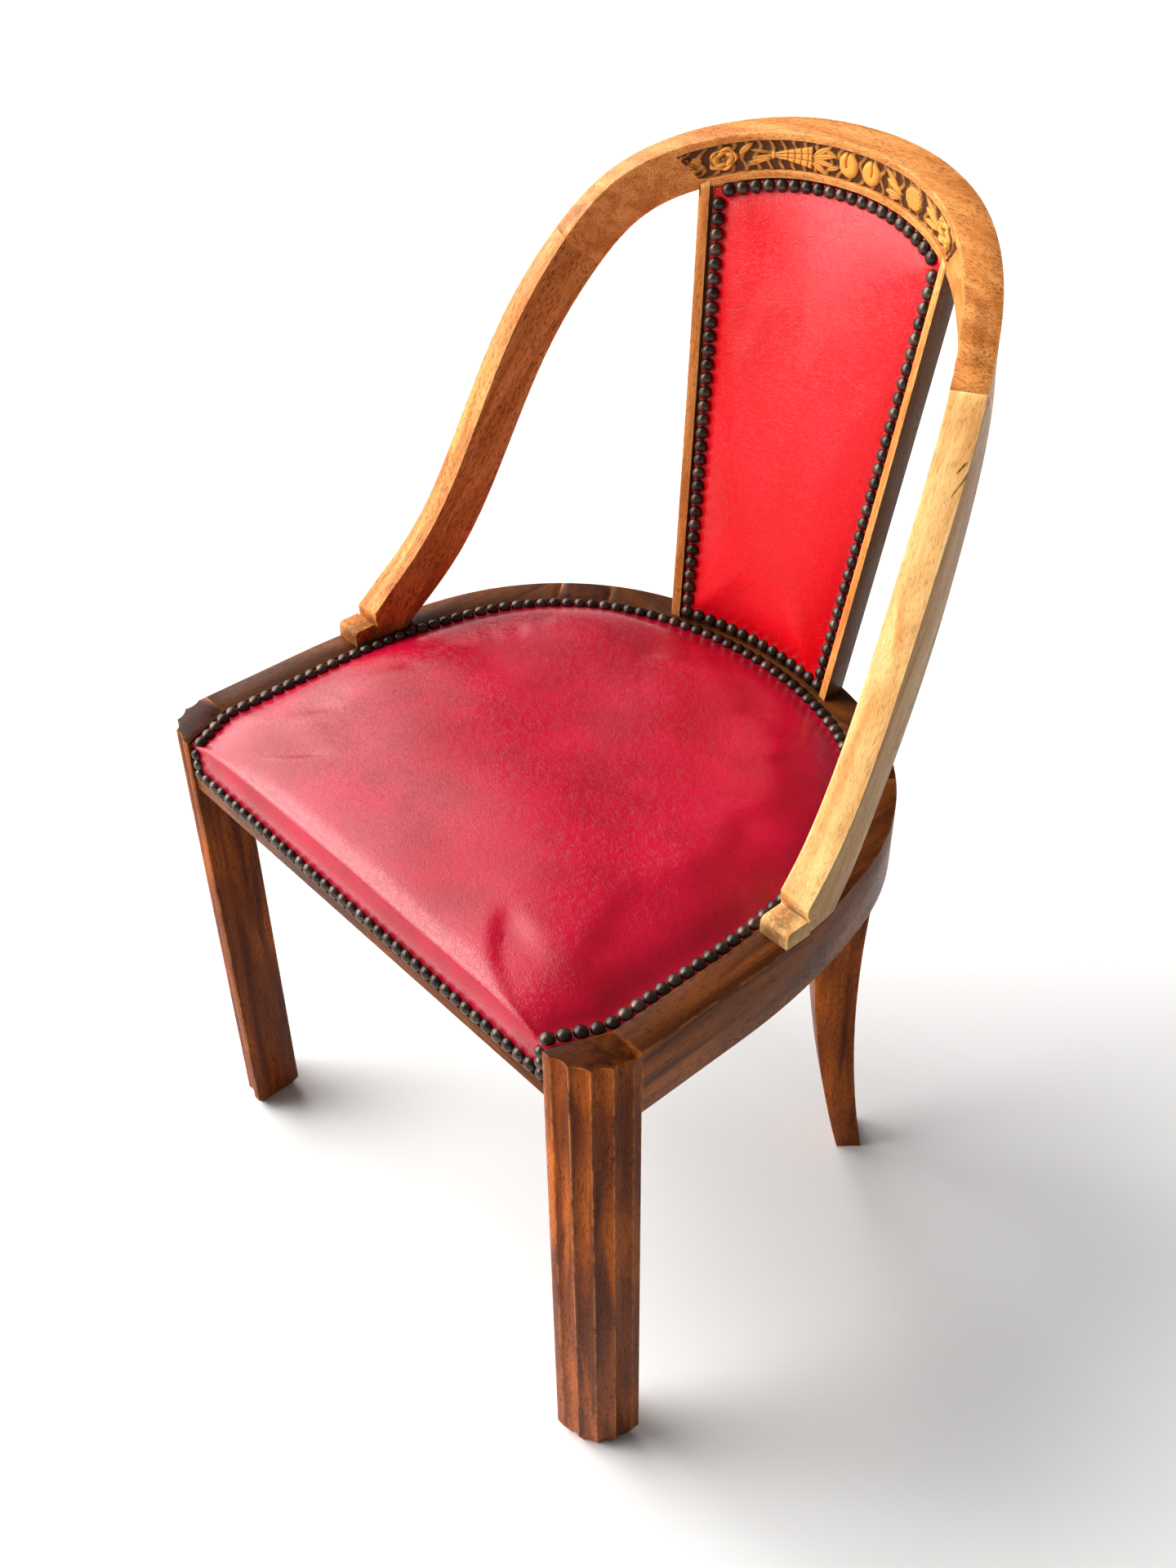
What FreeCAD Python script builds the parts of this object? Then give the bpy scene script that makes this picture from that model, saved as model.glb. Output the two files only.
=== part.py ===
"""Gondola armchair: a round-backed wooden chair with a nailed leatherette seat and splat.

Millimetres, +Z up, the sitter faces -Y. The origin is on the floor, under the middle of the chair.
Every size that can be set by itself is named in the first part of this file.
"""

import FreeCAD
import Part
import math
import os

Vector = FreeCAD.Vector

# Seat frame, seen from above: straight sides, then three tangent arcs to the middle of the back
rail_top = 440.0
rail_height = 56.0
rail_thickness = 46.0
half_width = 262.0
front_y = -259.0
side_straight_end = -119.0
side_radius = 560.0
side_turn = 15.0
corner_radius = 210.0
back_radius = 320.0

# Ledges along the inner top edge of the rails: one for the nailed cover, a lower one for the webbing
nail_ledge_inset = 27.0
nail_ledge_depth = 3.0
web_ledge_width = 7.0
web_ledge_depth = 12.0

# Front legs: a square post whose outer corner is a fluted quarter round
leg_size = 45.0
leg_round = 38.0
flute_count = 4
flute_depth = 2.6
foot_chamfer_height = 9.0
foot_chamfer_inset = 5.0

# Front rail: a strip of wood shows under the cover
front_rail_setback = 2.0
front_rail_thickness = 41.0
front_rail_height = 46.0
front_strip_height = 11.0
front_rebate_depth = 4.0

# Rear legs: sabre legs that stand square to the round corner of the frame
rear_leg_angle = 50.0
rear_leg_width = 46.0
rear_foot_width = 32.0
rear_leg_depth = 48.0
rear_foot_depth = 22.0
rear_foot_kick = 11.0
sabre_sweep = 15.0

# Hoop of arms and crest: its section, and its outer top edge from the middle of the back to the foot.
# Each station is (share of the half width, y, rise above the rail top).
hoop_thickness = 25.0
hoop_depth = 38.0
crest_slope = 5.0
hoop_stations = [
    (0.0, 259.0, 412.0),
    (0.229, 252.5, 409.0),
    (0.420, 236.0, 399.5),
    (0.588, 207.0, 384.0),
    (0.710, 175.0, 361.0),
    (0.805, 136.0, 317.0),
    (0.870, 92.0, 252.0),
    (0.916, 42.0, 155.0),
    (0.954, -4.0, 77.0),
    (0.979, -36.0, 43.0),
    (0.992, -70.0, 12.0),
    (0.996, -100.0, -16.0),
]
stile_station = 2
crest_seam_station = 5
arm_foot_station = 9

# Toe block in front of each arm, and the groove behind it
toe_front_y = -79.0
toe_length = 21.0
toe_height = 14.0
toe_round = 4.0
toe_groove = 2.0

# Carved band in the front face of the crest: a sunk ground between two plain borders, its ends slanting
# from half a length at the crest's underside to another at the level of its top
frieze_half_low = 117.0
frieze_half_high = 155.0
frieze_border = 6.2
frieze_depth = 3.0

# Splat: a leaning panel, bowed in plan, wider at the top, its leatherette in a rebate
splat_setback = 23.5
splat_half_bottom = 88.0
splat_half_top = 120.0
splat_thickness = 20.0
splat_rise = 378.0
splat_behind_crest = 2.0
stile_width = 32.0
stile_strip = 7.6
splat_rebate = 4.0
splat_rail_height = 38.0

# Upholstery: each row of the seat's crown is (rise above the nail ledge, inset, set-back at the front)
cover_thickness = 1.6
cover_gap = 0.3
seat_crown_rows = [
    (0.0, 0.5, 0.0),
    (7.0, 2.0, 1.5),
    (14.0, 20.0, 18.0),
    (20.5, 90.0, 88.0),
]
crown_corner_share = 0.25
front_bulge = 2.5
hessian_thickness = 1.2
web_width = 50.0
web_thickness = 1.8
web_spacing = 74.0
webs_along = 5
webs_across = 4
web_first_y = -176.0
back_crown = 12.0
back_edge_crown = 4.0
back_puff = 3.0
back_rows = 4

# Domed nails, closer together in the arched row under the crest
nail_radius = 4.9
nail_height = 4.2
nail_top_radius = 2.5
nail_pitch = 11.2
arch_nail_gap = 0.3
nail_sides = 6
nail_edge_gap = 0.8
nail_seat_gap = 0.1
arch_samples = 60

# Fluted dowels, corner blocks and screws
dowel_radius = 4.0
dowel_sides = 12
dowel_gap = 0.1
dowel_depth = 20.0
dowel_end_gap = 1.0
front_dowel_heights = (12.0, 31.0)
side_dowel_heights = (14.0, 32.0)
arm_dowel_places = (-46.0, -20.0)
crest_dowel_spread = 9.0
splat_dowel_depth = 14.0
block_leg = 70.0
block_end = 12.0
block_notch = 8.0
block_height = 28.0
block_lift = 2.0
screw_radius = 2.2
screw_head_radius = 4.5
screw_head_height = 3.0
screw_grip = 14.0
screw_length = 34.0
screw_place = 34.0
screw_heights = (8.0, 20.0)
screw_gap = 0.1

# Values that follow from the sizes above
rail_bottom = rail_top - rail_height
nail_ledge = rail_top - nail_ledge_depth
web_ledge = rail_top - web_ledge_depth
web_ledge_inset = rail_thickness - web_ledge_width
leg_inner_x = half_width - leg_size
leg_back_y = front_y + leg_size
front_face_y = front_y + front_rail_setback
front_rail_back = front_face_y + front_rail_thickness
web_front_y = front_rail_back - web_ledge_width
nail_line_inset = nail_ledge_inset + nail_edge_gap + nail_radius
crown_inset = nail_line_inset + nail_radius + nail_edge_gap
nail_band = 2 * (nail_radius + nail_edge_gap)
front_rail_bottom = rail_top - front_rail_height
strip_top = front_rail_bottom + front_strip_height
cover_front = front_face_y + front_rebate_depth - cover_thickness
cover_top = nail_ledge + cover_thickness
rail_middle_x = half_width - rail_thickness / 2
hessian_bottom = web_ledge + 2 * web_thickness
pad_bottom = hessian_bottom + hessian_thickness + cover_gap
reach = 4 * half_width
over = 1.0


def polar(angle, radius=1.0):
    """Vector of a given length at an angle in degrees from +X, in plan."""
    return Vector(radius * math.cos(math.radians(angle)), radius * math.sin(math.radians(angle)), 0)


side_centre = Vector(half_width - side_radius, side_straight_end, 0)
corner_centre = side_centre + polar(side_turn, side_radius - corner_radius)
back_turn = math.degrees(math.acos(corner_centre.x / (back_radius - corner_radius)))
back_centre = corner_centre - polar(back_turn, back_radius - corner_radius)
rear_out = polar(rear_leg_angle)
rear_along = polar(rear_leg_angle - 90)
rear_top = corner_centre + polar(rear_leg_angle, corner_radius)
up = Vector(0, 0, 1)
hoop_points = [Vector(share * half_width, y, rail_top + rise) for share, y, rise in hoop_stations]


def mirrored(shape):
    """The same piece on the other side of the chair."""
    return shape.mirror(Vector(0, 0, 0), Vector(1, 0, 0))


def both_sides(shapes):
    """Copies of the shapes on the right and the left of the chair."""
    return list(shapes) + [mirrored(shape) for shape in shapes]


def at_height(point, z):
    return Vector(point.x, point.y, z)


def line(start, end):
    return Part.makeLine(start, end)


def arc(start, middle, end):
    return Part.Arc(start, middle, end).toShape()


def arc_about(centre, radius, first, last, z):
    """Arc in plan about a centre, between two angles in degrees."""
    angles = (first, (first + last) / 2, last)
    return arc(*[at_height(centre + polar(angle, radius), z) for angle in angles])


def prism(wire, z_low, z_high):
    """Solid between two heights over a closed plan wire."""
    face = Part.Face(wire)
    face.translate(Vector(0, 0, z_low - face.BoundBox.ZMin))
    return face.extrude(Vector(0, 0, z_high - z_low))


def box(low, high):
    size = [high[i] - low[i] for i in range(3)]
    return Part.makeBox(*size, Vector(*low))


def rod(start, direction, length, radius):
    return Part.makeCylinder(radius, length, start, direction)


def regular_points(sides, radius, z=0.0):
    """Corners of a regular polygon round the Z axis, the first one repeated at the end."""
    return [at_height(polar(360.0 * i / sides, radius), z) for i in range(sides + 1)]


def cut_all(shape, tools):
    """A piece with several holes or pockets taken out."""
    return shape.cut(Part.makeCompound(tools)) if tools else shape


def outline_edges(inset, front, front_half, slant_end, z):
    """Plan outline at an inset from the outside of the rails, from the front right corner round the back.

    The front edge is front_half wide to each side, and slanting lines lead from it to the sides.
    """
    wide = half_width - inset
    right = [
        line(Vector(front_half, front, z), Vector(wide, slant_end, z)),
        line(Vector(wide, slant_end, z), Vector(wide, side_straight_end, z)),
        arc_about(side_centre, side_radius - inset, 0, side_turn, z),
        arc_about(corner_centre, corner_radius - inset, side_turn, back_turn, z),
    ]
    back = arc_about(back_centre, back_radius - inset, back_turn, 180 - back_turn, z)
    return right + [back] + [mirrored(edge) for edge in reversed(right)]


def outline(inset, front, front_half=None, slant_end=None, z=0.0):
    """Closed plan outline at an inset from the outside of the rails."""
    half = half_width - inset if front_half is None else front_half
    end = (front + side_straight_end) / 2 if slant_end is None else slant_end
    edges = outline_edges(inset, front, half, end, z)
    edges.append(line(Vector(-half, front, z), Vector(half, front, z)))
    return Part.Wire(Part.__sortEdges__(edges))


def cover_outline(inset, front, z=0.0):
    """Outline of the seat cover: along the rails, then slanting in past the front legs."""
    slant_end = max(leg_back_y, front + (side_straight_end - front) * crown_corner_share)
    return outline(inset, front, leg_inner_x - (inset - nail_ledge_inset), slant_end, z)


def seat_recess():
    """What the nailed cover and the webbing take out of the inner top edge of the frame."""
    upper = prism(cover_outline(nail_ledge_inset, front_y), nail_ledge, rail_top)
    lower = prism(outline(web_ledge_inset, web_front_y), web_ledge, rail_top)
    return upper.fuse(lower)


def front_leg():
    """Right front leg, with its fluted corner and chamfered foot."""
    round_centre = Vector(half_width - leg_round, front_y + leg_round, 0)
    middle = Vector(half_width - leg_size / 2, front_y + leg_size / 2, 0)
    step = 90.0 / flute_count
    arrises = [round_centre + polar(-step * i, leg_round) for i in range(flute_count + 1)]
    hollows = [round_centre + polar(-step * (i + 0.5), leg_round - flute_depth) for i in range(flute_count)]
    inner_back = Vector(leg_inner_x, leg_back_y, 0)
    outer_back = Vector(half_width, leg_back_y, 0)
    inner_front = Vector(leg_inner_x, front_y, 0)

    def section(z, scale):
        def place(point):
            return at_height(middle + (point - middle) * scale, z)

        edges = [line(place(inner_back), place(outer_back)), line(place(outer_back), place(arrises[0]))]
        for i, hollow in enumerate(hollows):
            edges.append(arc(place(arrises[i]), place(hollow), place(arrises[i + 1])))
        edges.append(line(place(arrises[-1]), place(inner_front)))
        edges.append(line(place(inner_front), place(inner_back)))
        return Part.Wire(edges)

    foot_scale = 1 - 2 * foot_chamfer_inset / leg_size
    foot = Part.makeLoft([section(0, foot_scale), section(foot_chamfer_height, 1)], True, True)
    return prism(section(0, 1), foot_chamfer_height, rail_top).fuse(foot).removeSplitter()


def rear_leg():
    """Right rear leg: a sabre profile, narrowing sideways towards the foot, its top bent like the rails."""
    half_top = rear_leg_width / 2
    half_foot = rear_foot_width / 2
    foot_inner = rear_foot_kick - rear_foot_depth

    def place(out, along, z):
        return rear_top + rear_out * out + rear_along * along + up * z

    def sabre(out_top, out_foot):
        middle = place((out_top + out_foot) / 2 - sabre_sweep, half_top, rail_bottom / 2)
        return arc(place(out_top, half_top, rail_bottom), middle, place(out_foot, half_top, 0))

    top_out = hoop_thickness
    profile = [
        sabre(0, rear_foot_kick),
        line(place(rear_foot_kick, half_top, 0), place(foot_inner, half_top, 0)),
        sabre(-rear_leg_depth, foot_inner),
        line(place(-rear_leg_depth, half_top, rail_bottom), place(-rear_leg_depth, half_top, rail_top)),
        line(place(-rear_leg_depth, half_top, rail_top), place(top_out, half_top, rail_top)),
        line(place(top_out, half_top, rail_top), place(top_out, half_top, rail_bottom)),
        line(place(top_out, half_top, rail_bottom), place(0, half_top, rail_bottom)),
    ]
    blank = Part.Face(Part.Wire(Part.__sortEdges__(profile))).extrude(rear_along * -rear_leg_width)
    front_view = Part.makePolygon([
        place(-corner_radius, -half_top, rail_top),
        place(-corner_radius, half_top, rail_top),
        place(-corner_radius, half_top, rail_bottom),
        place(-corner_radius, half_foot, 0),
        place(-corner_radius, -half_foot, 0),
        place(-corner_radius, -half_top, rail_bottom),
        place(-corner_radius, -half_top, rail_top),
    ])
    tapered = blank.common(Part.Face(front_view).extrude(rear_out * 2 * corner_radius))
    frame = prism(outline(0, front_y), rail_bottom, rail_top)
    below = box((-reach, -reach, 0), (reach, reach, rail_bottom))
    return tapered.common(frame.fuse(below)).removeSplitter()


def rear_leg_slot():
    """Room between the side rail and the back rail for the right rear leg."""
    slot = Part.makeBox(corner_radius, rear_leg_width, rail_height)
    slot.translate(Vector(-corner_radius / 2, -rear_leg_width / 2, 0))
    slot.rotate(Vector(0, 0, 0), up, rear_leg_angle)
    slot.translate(at_height(rear_top, rail_bottom))
    return slot


def rails():
    """Right side rail and back rail, cut from one ring."""
    ring = prism(outline(0, front_y), rail_bottom, rail_top)
    ring = ring.cut(prism(outline(rail_thickness, front_y), rail_bottom, rail_top))
    front = box((-half_width, front_y, rail_bottom), (half_width, leg_back_y, rail_top))
    slot = rear_leg_slot()
    pieces = cut_all(ring, [front, slot, mirrored(slot), seat_recess()]).Solids
    side = max(pieces, key=lambda solid: solid.CenterOfMass.x)
    back = max(pieces, key=lambda solid: solid.CenterOfMass.y)
    return side, back


def front_rail():
    """Front rail between the front legs, rebated for the cover above its wood strip."""
    rail = box((-leg_inner_x, front_face_y, front_rail_bottom), (leg_inner_x, front_rail_back, rail_top))
    rebate = box((-leg_inner_x, front_y, strip_top), (leg_inner_x, front_face_y + front_rebate_depth, rail_top))
    return cut_all(rail, [rebate, seat_recess()])


def hoop_curve():
    """Outer top edge of the hoop, from the right foot over the back to the left foot."""
    curve = Part.BSplineCurve()
    curve.interpolate(hoop_round())
    return curve


def hoop_round():
    """The stations' points, from the right foot to the left one."""
    left = [Vector(-point.x, point.y, point.z) for point in hoop_points[1:]]
    return list(reversed(hoop_points)) + left


hoop_edge = hoop_curve()


def hoop_places():
    """Curve parameters of the stations, from the right foot to the left one."""
    return [hoop_edge.parameter(point) for point in hoop_round()]


def hoop_frame(place):
    """Point on the outer top edge, with the inward and downward directions of the section there."""
    along = hoop_edge.tangent(place)[0]
    inward = up.cross(along).normalize()
    return hoop_edge.value(place), inward, inward.cross(along).normalize()


def hoop_section(place, low, high, near, far):
    """Part of the hoop's section: between two depths under its top face and two insets from its outer face."""
    point, inward, down = hoop_frame(place)
    slope = crest_slope * max(0.0, -inward.y) ** 2 / hoop_thickness
    corners = []
    for inset, depth in ((near, low), (far, low), (far, high), (near, high)):
        drop = depth + slope * inset * (1 - depth / hoop_depth)
        corners.append(point + inward * inset + down * drop)
    return Part.makePolygon(corners + corners[:1])


def hoop(low, high, near, far):
    """Loft of a part of the section along the whole hoop."""
    wires = [hoop_section(place, low, high, near, far) for place in hoop_places()]
    return Part.makeLoft(wires, True, False)


def seam_place(left=False):
    """Curve parameter of the right or the left seam between arm and crest."""
    places = hoop_places()
    middle = len(hoop_points) - 1
    return places[middle + crest_seam_station] if left else places[middle - crest_seam_station]


def beyond_seam():
    """Everything on the arm's side of the right seam between arm and crest."""
    place = seam_place()
    half_space = Part.makeBox(reach, reach, reach, Vector(-reach / 2, -reach / 2, 0))
    turn = FreeCAD.Rotation(up, hoop_edge.tangent(place)[0] * -1)
    half_space.Placement = FreeCAD.Placement(hoop_edge.value(place), turn)
    return half_space


def crest_rail(whole):
    """Crest rail, with the sunk ground of its carved band."""
    arms = beyond_seam()
    crest = cut_all(whole, [arms, mirrored(arms)])
    far = hoop_thickness + frieze_depth
    ground = hoop(frieze_border, hoop_depth - frieze_border, hoop_thickness - frieze_depth, far)
    low = hoop_points[stile_station].z - hoop_depth
    high = hoop_points[0].z
    ends = [(-frieze_half_low, low), (frieze_half_low, low), (frieze_half_high, high), (-frieze_half_high, high)]
    corners = [Vector(x, 0, z) for x, z in ends]
    window = Part.Face(Part.makePolygon(corners + corners[:1])).extrude(Vector(0, reach, 0))
    return crest.cut(ground.common(window))


def arm(whole):
    """Right arm: it stands on the side rail behind a small toe block."""
    toe_back = toe_front_y + toe_length
    room = box((0, toe_back, rail_top), (reach, reach, reach))
    upright = whole.common(beyond_seam()).common(room)
    outer = upright.BoundBox.XMax
    low = (outer - hoop_thickness, toe_front_y, rail_top)
    toe = box(low, (outer, toe_back + toe_groove, rail_top + toe_height))
    nose = [edge for edge in toe.Edges if edge.BoundBox.YMax < toe_back and edge.BoundBox.ZMin > rail_top]
    toe = toe.makeFillet(toe_round, [edge for edge in nose if edge.BoundBox.YLength < toe_groove])
    groove_low = (0, toe_back - toe_groove / 2, rail_top + toe_height - toe_groove)
    groove = box(groove_low, (reach, toe_back + toe_groove / 2, rail_top + toe_height + toe_groove))
    return upright.fuse(toe).cut(groove).removeSplitter()


def splat_half(level):
    """Half the splat's width at a level from 0 at the rail to 1 inside the crest."""
    return splat_half_bottom + (splat_half_top - splat_half_bottom) * level


def splat_circle(level):
    """Centre and radius of the splat's front face at a level."""
    crest_middle, crest_side = hoop_points[0], hoop_points[stile_station]
    sagitta = crest_middle.y - crest_side.y
    crest_radius = (crest_side.x ** 2 + sagitta ** 2) / (2 * sagitta)
    top_radius = crest_radius - hoop_thickness + splat_behind_crest
    top_centre = crest_middle.y - crest_radius
    low_radius = back_radius - splat_setback
    return back_centre.y + (top_centre - back_centre.y) * level, low_radius + (top_radius - low_radius) * level


def splat_point(x, level, depth):
    """Point of the splat at a depth behind its front face."""
    centre, front_radius = splat_circle(level)
    radius = front_radius + depth
    return Vector(x, centre + math.sqrt(radius ** 2 - x ** 2), rail_top + splat_rise * level)


def splat_wire(level, left, right, front, back, crown=0.0):
    """Level section of the splat between two sides and two depths, its front arched by a crown."""
    middle = (left + right) / 2
    near = [splat_point(left, level, front), splat_point(middle, level, front - crown)]
    near.append(splat_point(right, level, front))
    far = [splat_point(x, level, back) for x in (right, middle, left)]
    return Part.Wire([arc(*near), line(near[2], far[0]), arc(*far), line(far[2], near[0])])


def splat_slab(front, back):
    """The splat's bowed and leaning form between two depths, wider than the splat itself.

    Its arcs open by the same angle at every level, so that the form follows splat_point exactly.
    """
    smallest = min(splat_circle(level)[1] for level in (0, 1)) + front
    opening = math.degrees(math.asin((splat_half_top + over) / smallest))
    wires = []
    for level in (0, 1):
        centre, radius = splat_circle(level)
        middle = Vector(0, centre, rail_top + splat_rise * level)
        ends = (90 + opening, 90 - opening)
        near = [middle + polar(angle, radius + front) for angle in (ends[0], 90, ends[1])]
        far = [middle + polar(angle, radius + back) for angle in (ends[1], 90, ends[0])]
        wires.append(Part.Wire([arc(*near), line(near[2], far[0]), arc(*far), line(far[2], near[0])]))
    return Part.makeLoft(wires, True, True)


def splat_cutout(low, high, low_ends, high_ends):
    """What lies between two levels and between two slanting sides, at any depth of the splat."""
    corners = [(low_ends[0], low), (low_ends[1], low), (high_ends[1], high), (high_ends[0], high)]
    points = [Vector(x, 0, rail_top + splat_rise * level) for x, level in corners]
    return Part.Face(Part.makePolygon(points + points[:1])).extrude(Vector(0, reach, 0))


def splat_bar(inner, outer, front, back):
    """Right-hand bar of the splat between two distances from its outer side."""
    ends = [(splat_half(level) - inner, splat_half(level) - outer) for level in (0, 1)]
    return splat_slab(front, back).common(splat_cutout(0, 1, *ends))


def splat_sheet(margin, front, back, low=0.0, high=1.0):
    """Part of the splat across its whole width, less a margin at each side."""
    ends = [(margin - splat_half(level), splat_half(level) - margin) for level in (low, high)]
    return splat_slab(front, back).common(splat_cutout(low, high, *ends))


def splat_stile(whole):
    """Right stile of the splat, rebated front and back for the covers."""
    stile = splat_bar(stile_width, 0, 0, splat_thickness)
    front = splat_bar(stile_width + over, stile_strip, -over, splat_rebate)
    back = splat_bar(stile_width + over, stile_strip, splat_thickness - splat_rebate, splat_thickness + over)
    return cut_all(stile, [front, back, whole])


def splat_top_level():
    """Level at which the stiles meet the underside of the crest."""
    return (hoop_points[stile_station].z - rail_top - hoop_depth) / splat_rise


def splat_cross_rails(whole):
    """Top and bottom rails between the stiles, as thick as these are between their rebates."""
    back = splat_thickness - splat_rebate
    height = splat_rail_height / splat_rise
    top = splat_sheet(stile_width, splat_rebate, back, splat_top_level() - height)
    bottom = splat_sheet(stile_width, splat_rebate, back, 0, height)
    return top.cut(whole), bottom


def back_form(thinner, back):
    """Padded form of the splat's front inside its nail rows, thinner by the cover for the stuffing."""
    wires = []
    edge = nail_band + cover_gap + thinner
    first = edge / splat_rise
    last = splat_top_level() - first
    front = splat_rebate - cover_thickness - back_puff + thinner
    for row in range(back_rows):
        share = row / (back_rows - 1)
        level = first + (last - first) * share
        half = splat_half(level) - stile_strip - edge
        crown = back_edge_crown + (back_crown - back_edge_crown) * math.sin(math.pi * share)
        wires.append(splat_wire(level, -half, half, front, splat_thickness, crown))
    return Part.makeLoft(wires, True, True).cut(splat_slab(back, splat_thickness + over))


def back_upholstery(whole):
    """Cover, stuffing and hessian of the splat's front, and the plain cover of its back."""
    margin = stile_strip + cover_gap
    low = cover_gap / splat_rise
    sheet = splat_sheet(margin, splat_rebate - cover_thickness, splat_rebate, low).cut(whole)
    cover = sheet.fuse(back_form(0, splat_rebate)).cut(back_form(cover_thickness, splat_rebate + over))
    hessian_front = splat_rebate - hessian_thickness
    inside = cover_thickness + cover_gap
    pad = back_form(inside, hessian_front - cover_gap)
    first = (nail_band + cover_gap + inside) / splat_rise
    last = splat_top_level() - first
    hessian = splat_sheet(margin + nail_band + inside, hessian_front, splat_rebate, first, last)
    rear = splat_thickness - splat_rebate
    outside = splat_sheet(margin, rear, rear + cover_thickness, low).cut(whole)
    return cover.removeSplitter(), pad, hessian, outside


def seat_form(thinner):
    """Crowned form of the seat inside its nail row, thinner by the cover for the stuffing."""
    wires = []
    for rise, inset, setback in seat_crown_rows:
        front = cover_front + setback + thinner
        wires.append(cover_outline(crown_inset + inset + thinner, front, nail_ledge + rise - thinner))
    return Part.makeLoft(wires, True, True)


def seat_cover():
    """Leatherette of the seat: nailed sheet, crowned top and the flap over the front rail."""
    sheet = prism(cover_outline(nail_ledge_inset + cover_gap, cover_front), nail_ledge, cover_top)
    flap_half = leg_inner_x - cover_gap
    flap_low = strip_top + cover_gap
    flap = box((-flap_half, cover_front, flap_low), (flap_half, cover_front + cover_thickness, cover_top))
    swell_half = flap_half - nail_band
    swell_low = Vector(-swell_half, cover_front, flap_low + nail_band)
    swell_high = Vector(-swell_half, cover_front, cover_top)
    swell_out = (swell_low + swell_high) / 2 - Vector(0, front_bulge, 0)
    swell = Part.Face(Part.Wire([arc(swell_low, swell_out, swell_high), line(swell_high, swell_low)]))
    swell = swell.extrude(Vector(2 * swell_half, 0, 0))
    outside = sheet.fuse([flap, swell, seat_form(0)])
    return outside.cut(seat_form(cover_thickness)).removeSplitter()


def seat_pad():
    """Stuffing of the seat, from the hessian up to the cover."""
    crown = seat_form(cover_thickness + 2 * cover_gap)
    above = box((-reach, -reach, nail_ledge + cover_gap), (reach, reach, rail_top + rail_height))
    inset = web_ledge_inset + cover_thickness + 2 * cover_gap
    lower = prism(outline(inset, web_front_y + cover_gap), pad_bottom, nail_ledge + cover_gap)
    return crown.common(above).fuse(lower).removeSplitter()


def web_room():
    """Plan of the webbing's ledge, less a clearance, as a block over the whole stack."""
    plan = outline(web_ledge_inset + cover_gap, web_front_y + cover_gap)
    return prism(plan, web_ledge, nail_ledge)


def seat_webbing():
    """Webs from front to back, and webs from side to side on top of them."""
    room = web_room()
    half = web_width / 2
    middle = web_ledge + web_thickness
    strips = []
    for i in range(webs_along):
        x = (i - (webs_along - 1) / 2) * web_spacing
        strips.append(box((x - half, -reach, web_ledge), (x + half, reach, middle)))
    for i in range(webs_across):
        y = web_first_y + i * web_spacing
        strips.append(box((-reach, y - half, middle), (reach, y + half, hessian_bottom)))
    return [strip.common(room) for strip in strips]


def seat_hessian():
    """Hessian over the webbing."""
    slab = box((-reach, -reach, hessian_bottom), (reach, reach, hessian_bottom + hessian_thickness))
    return slab.common(web_room())


def nail_form():
    """One faceted nail head, standing on the origin."""
    base = regular_points(nail_sides, nail_radius, nail_seat_gap)
    top = regular_points(nail_sides, nail_top_radius, nail_height)
    rings = [base, top]
    for i in range(nail_sides):
        rings.append([base[i], base[i + 1], top[i + 1], top[i], base[i]])
    faces = [Part.Face(Part.makePolygon(ring)) for ring in rings]
    return Part.makeSolid(Part.makeShell(faces))


def nails(places):
    """Nail heads at (point, axis) places."""
    form = nail_form()
    heads = []
    for point, axis in places:
        head = form.copy()
        head.Placement = FreeCAD.Placement(point, FreeCAD.Rotation(up, axis))
        heads.append(head)
    return heads


def spaced(first, last, pitch):
    """Evenly spaced values from first to last, about a pitch apart."""
    count = max(1, round(abs(last - first) / pitch))
    return [first + (last - first) * i / count for i in range(count + 1)]


def seat_nail_places():
    """Nails round the sides and back of the seat, from one front leg to the other."""
    half = leg_inner_x - (nail_line_inset - nail_ledge_inset)
    row = Part.Wire(outline_edges(nail_line_inset, cover_front + nail_radius, half, leg_back_y, cover_top))
    count = round(row.Length / nail_pitch)
    return [(point, up) for point in row.discretize(Number=count + 1)]


def front_nail_places():
    """Nails along the foot of the front flap, and up its two ends."""
    inset = cover_gap + nail_edge_gap + nail_radius
    end_x = leg_inner_x - inset
    low_z = strip_top + inset
    face = Vector(0, -1, 0)
    places = [(Vector(x, cover_front, low_z), face) for x in spaced(-end_x, end_x, nail_pitch)]
    for z in spaced(low_z, nail_ledge - inset, nail_pitch)[1:]:
        places += [(Vector(x, cover_front, z), face) for x in (-end_x, end_x)]
    return places


def splat_nail(x, level, depth, side):
    """Place of a nail on the front (1) or back (-1) of the splat."""
    across = splat_point(x + over, level, depth) - splat_point(x - over, level, depth)
    along = splat_point(x, level + over / splat_rise, depth) - splat_point(x, level, depth)
    return splat_point(x, level, depth), across.cross(along).normalize() * side


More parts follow.
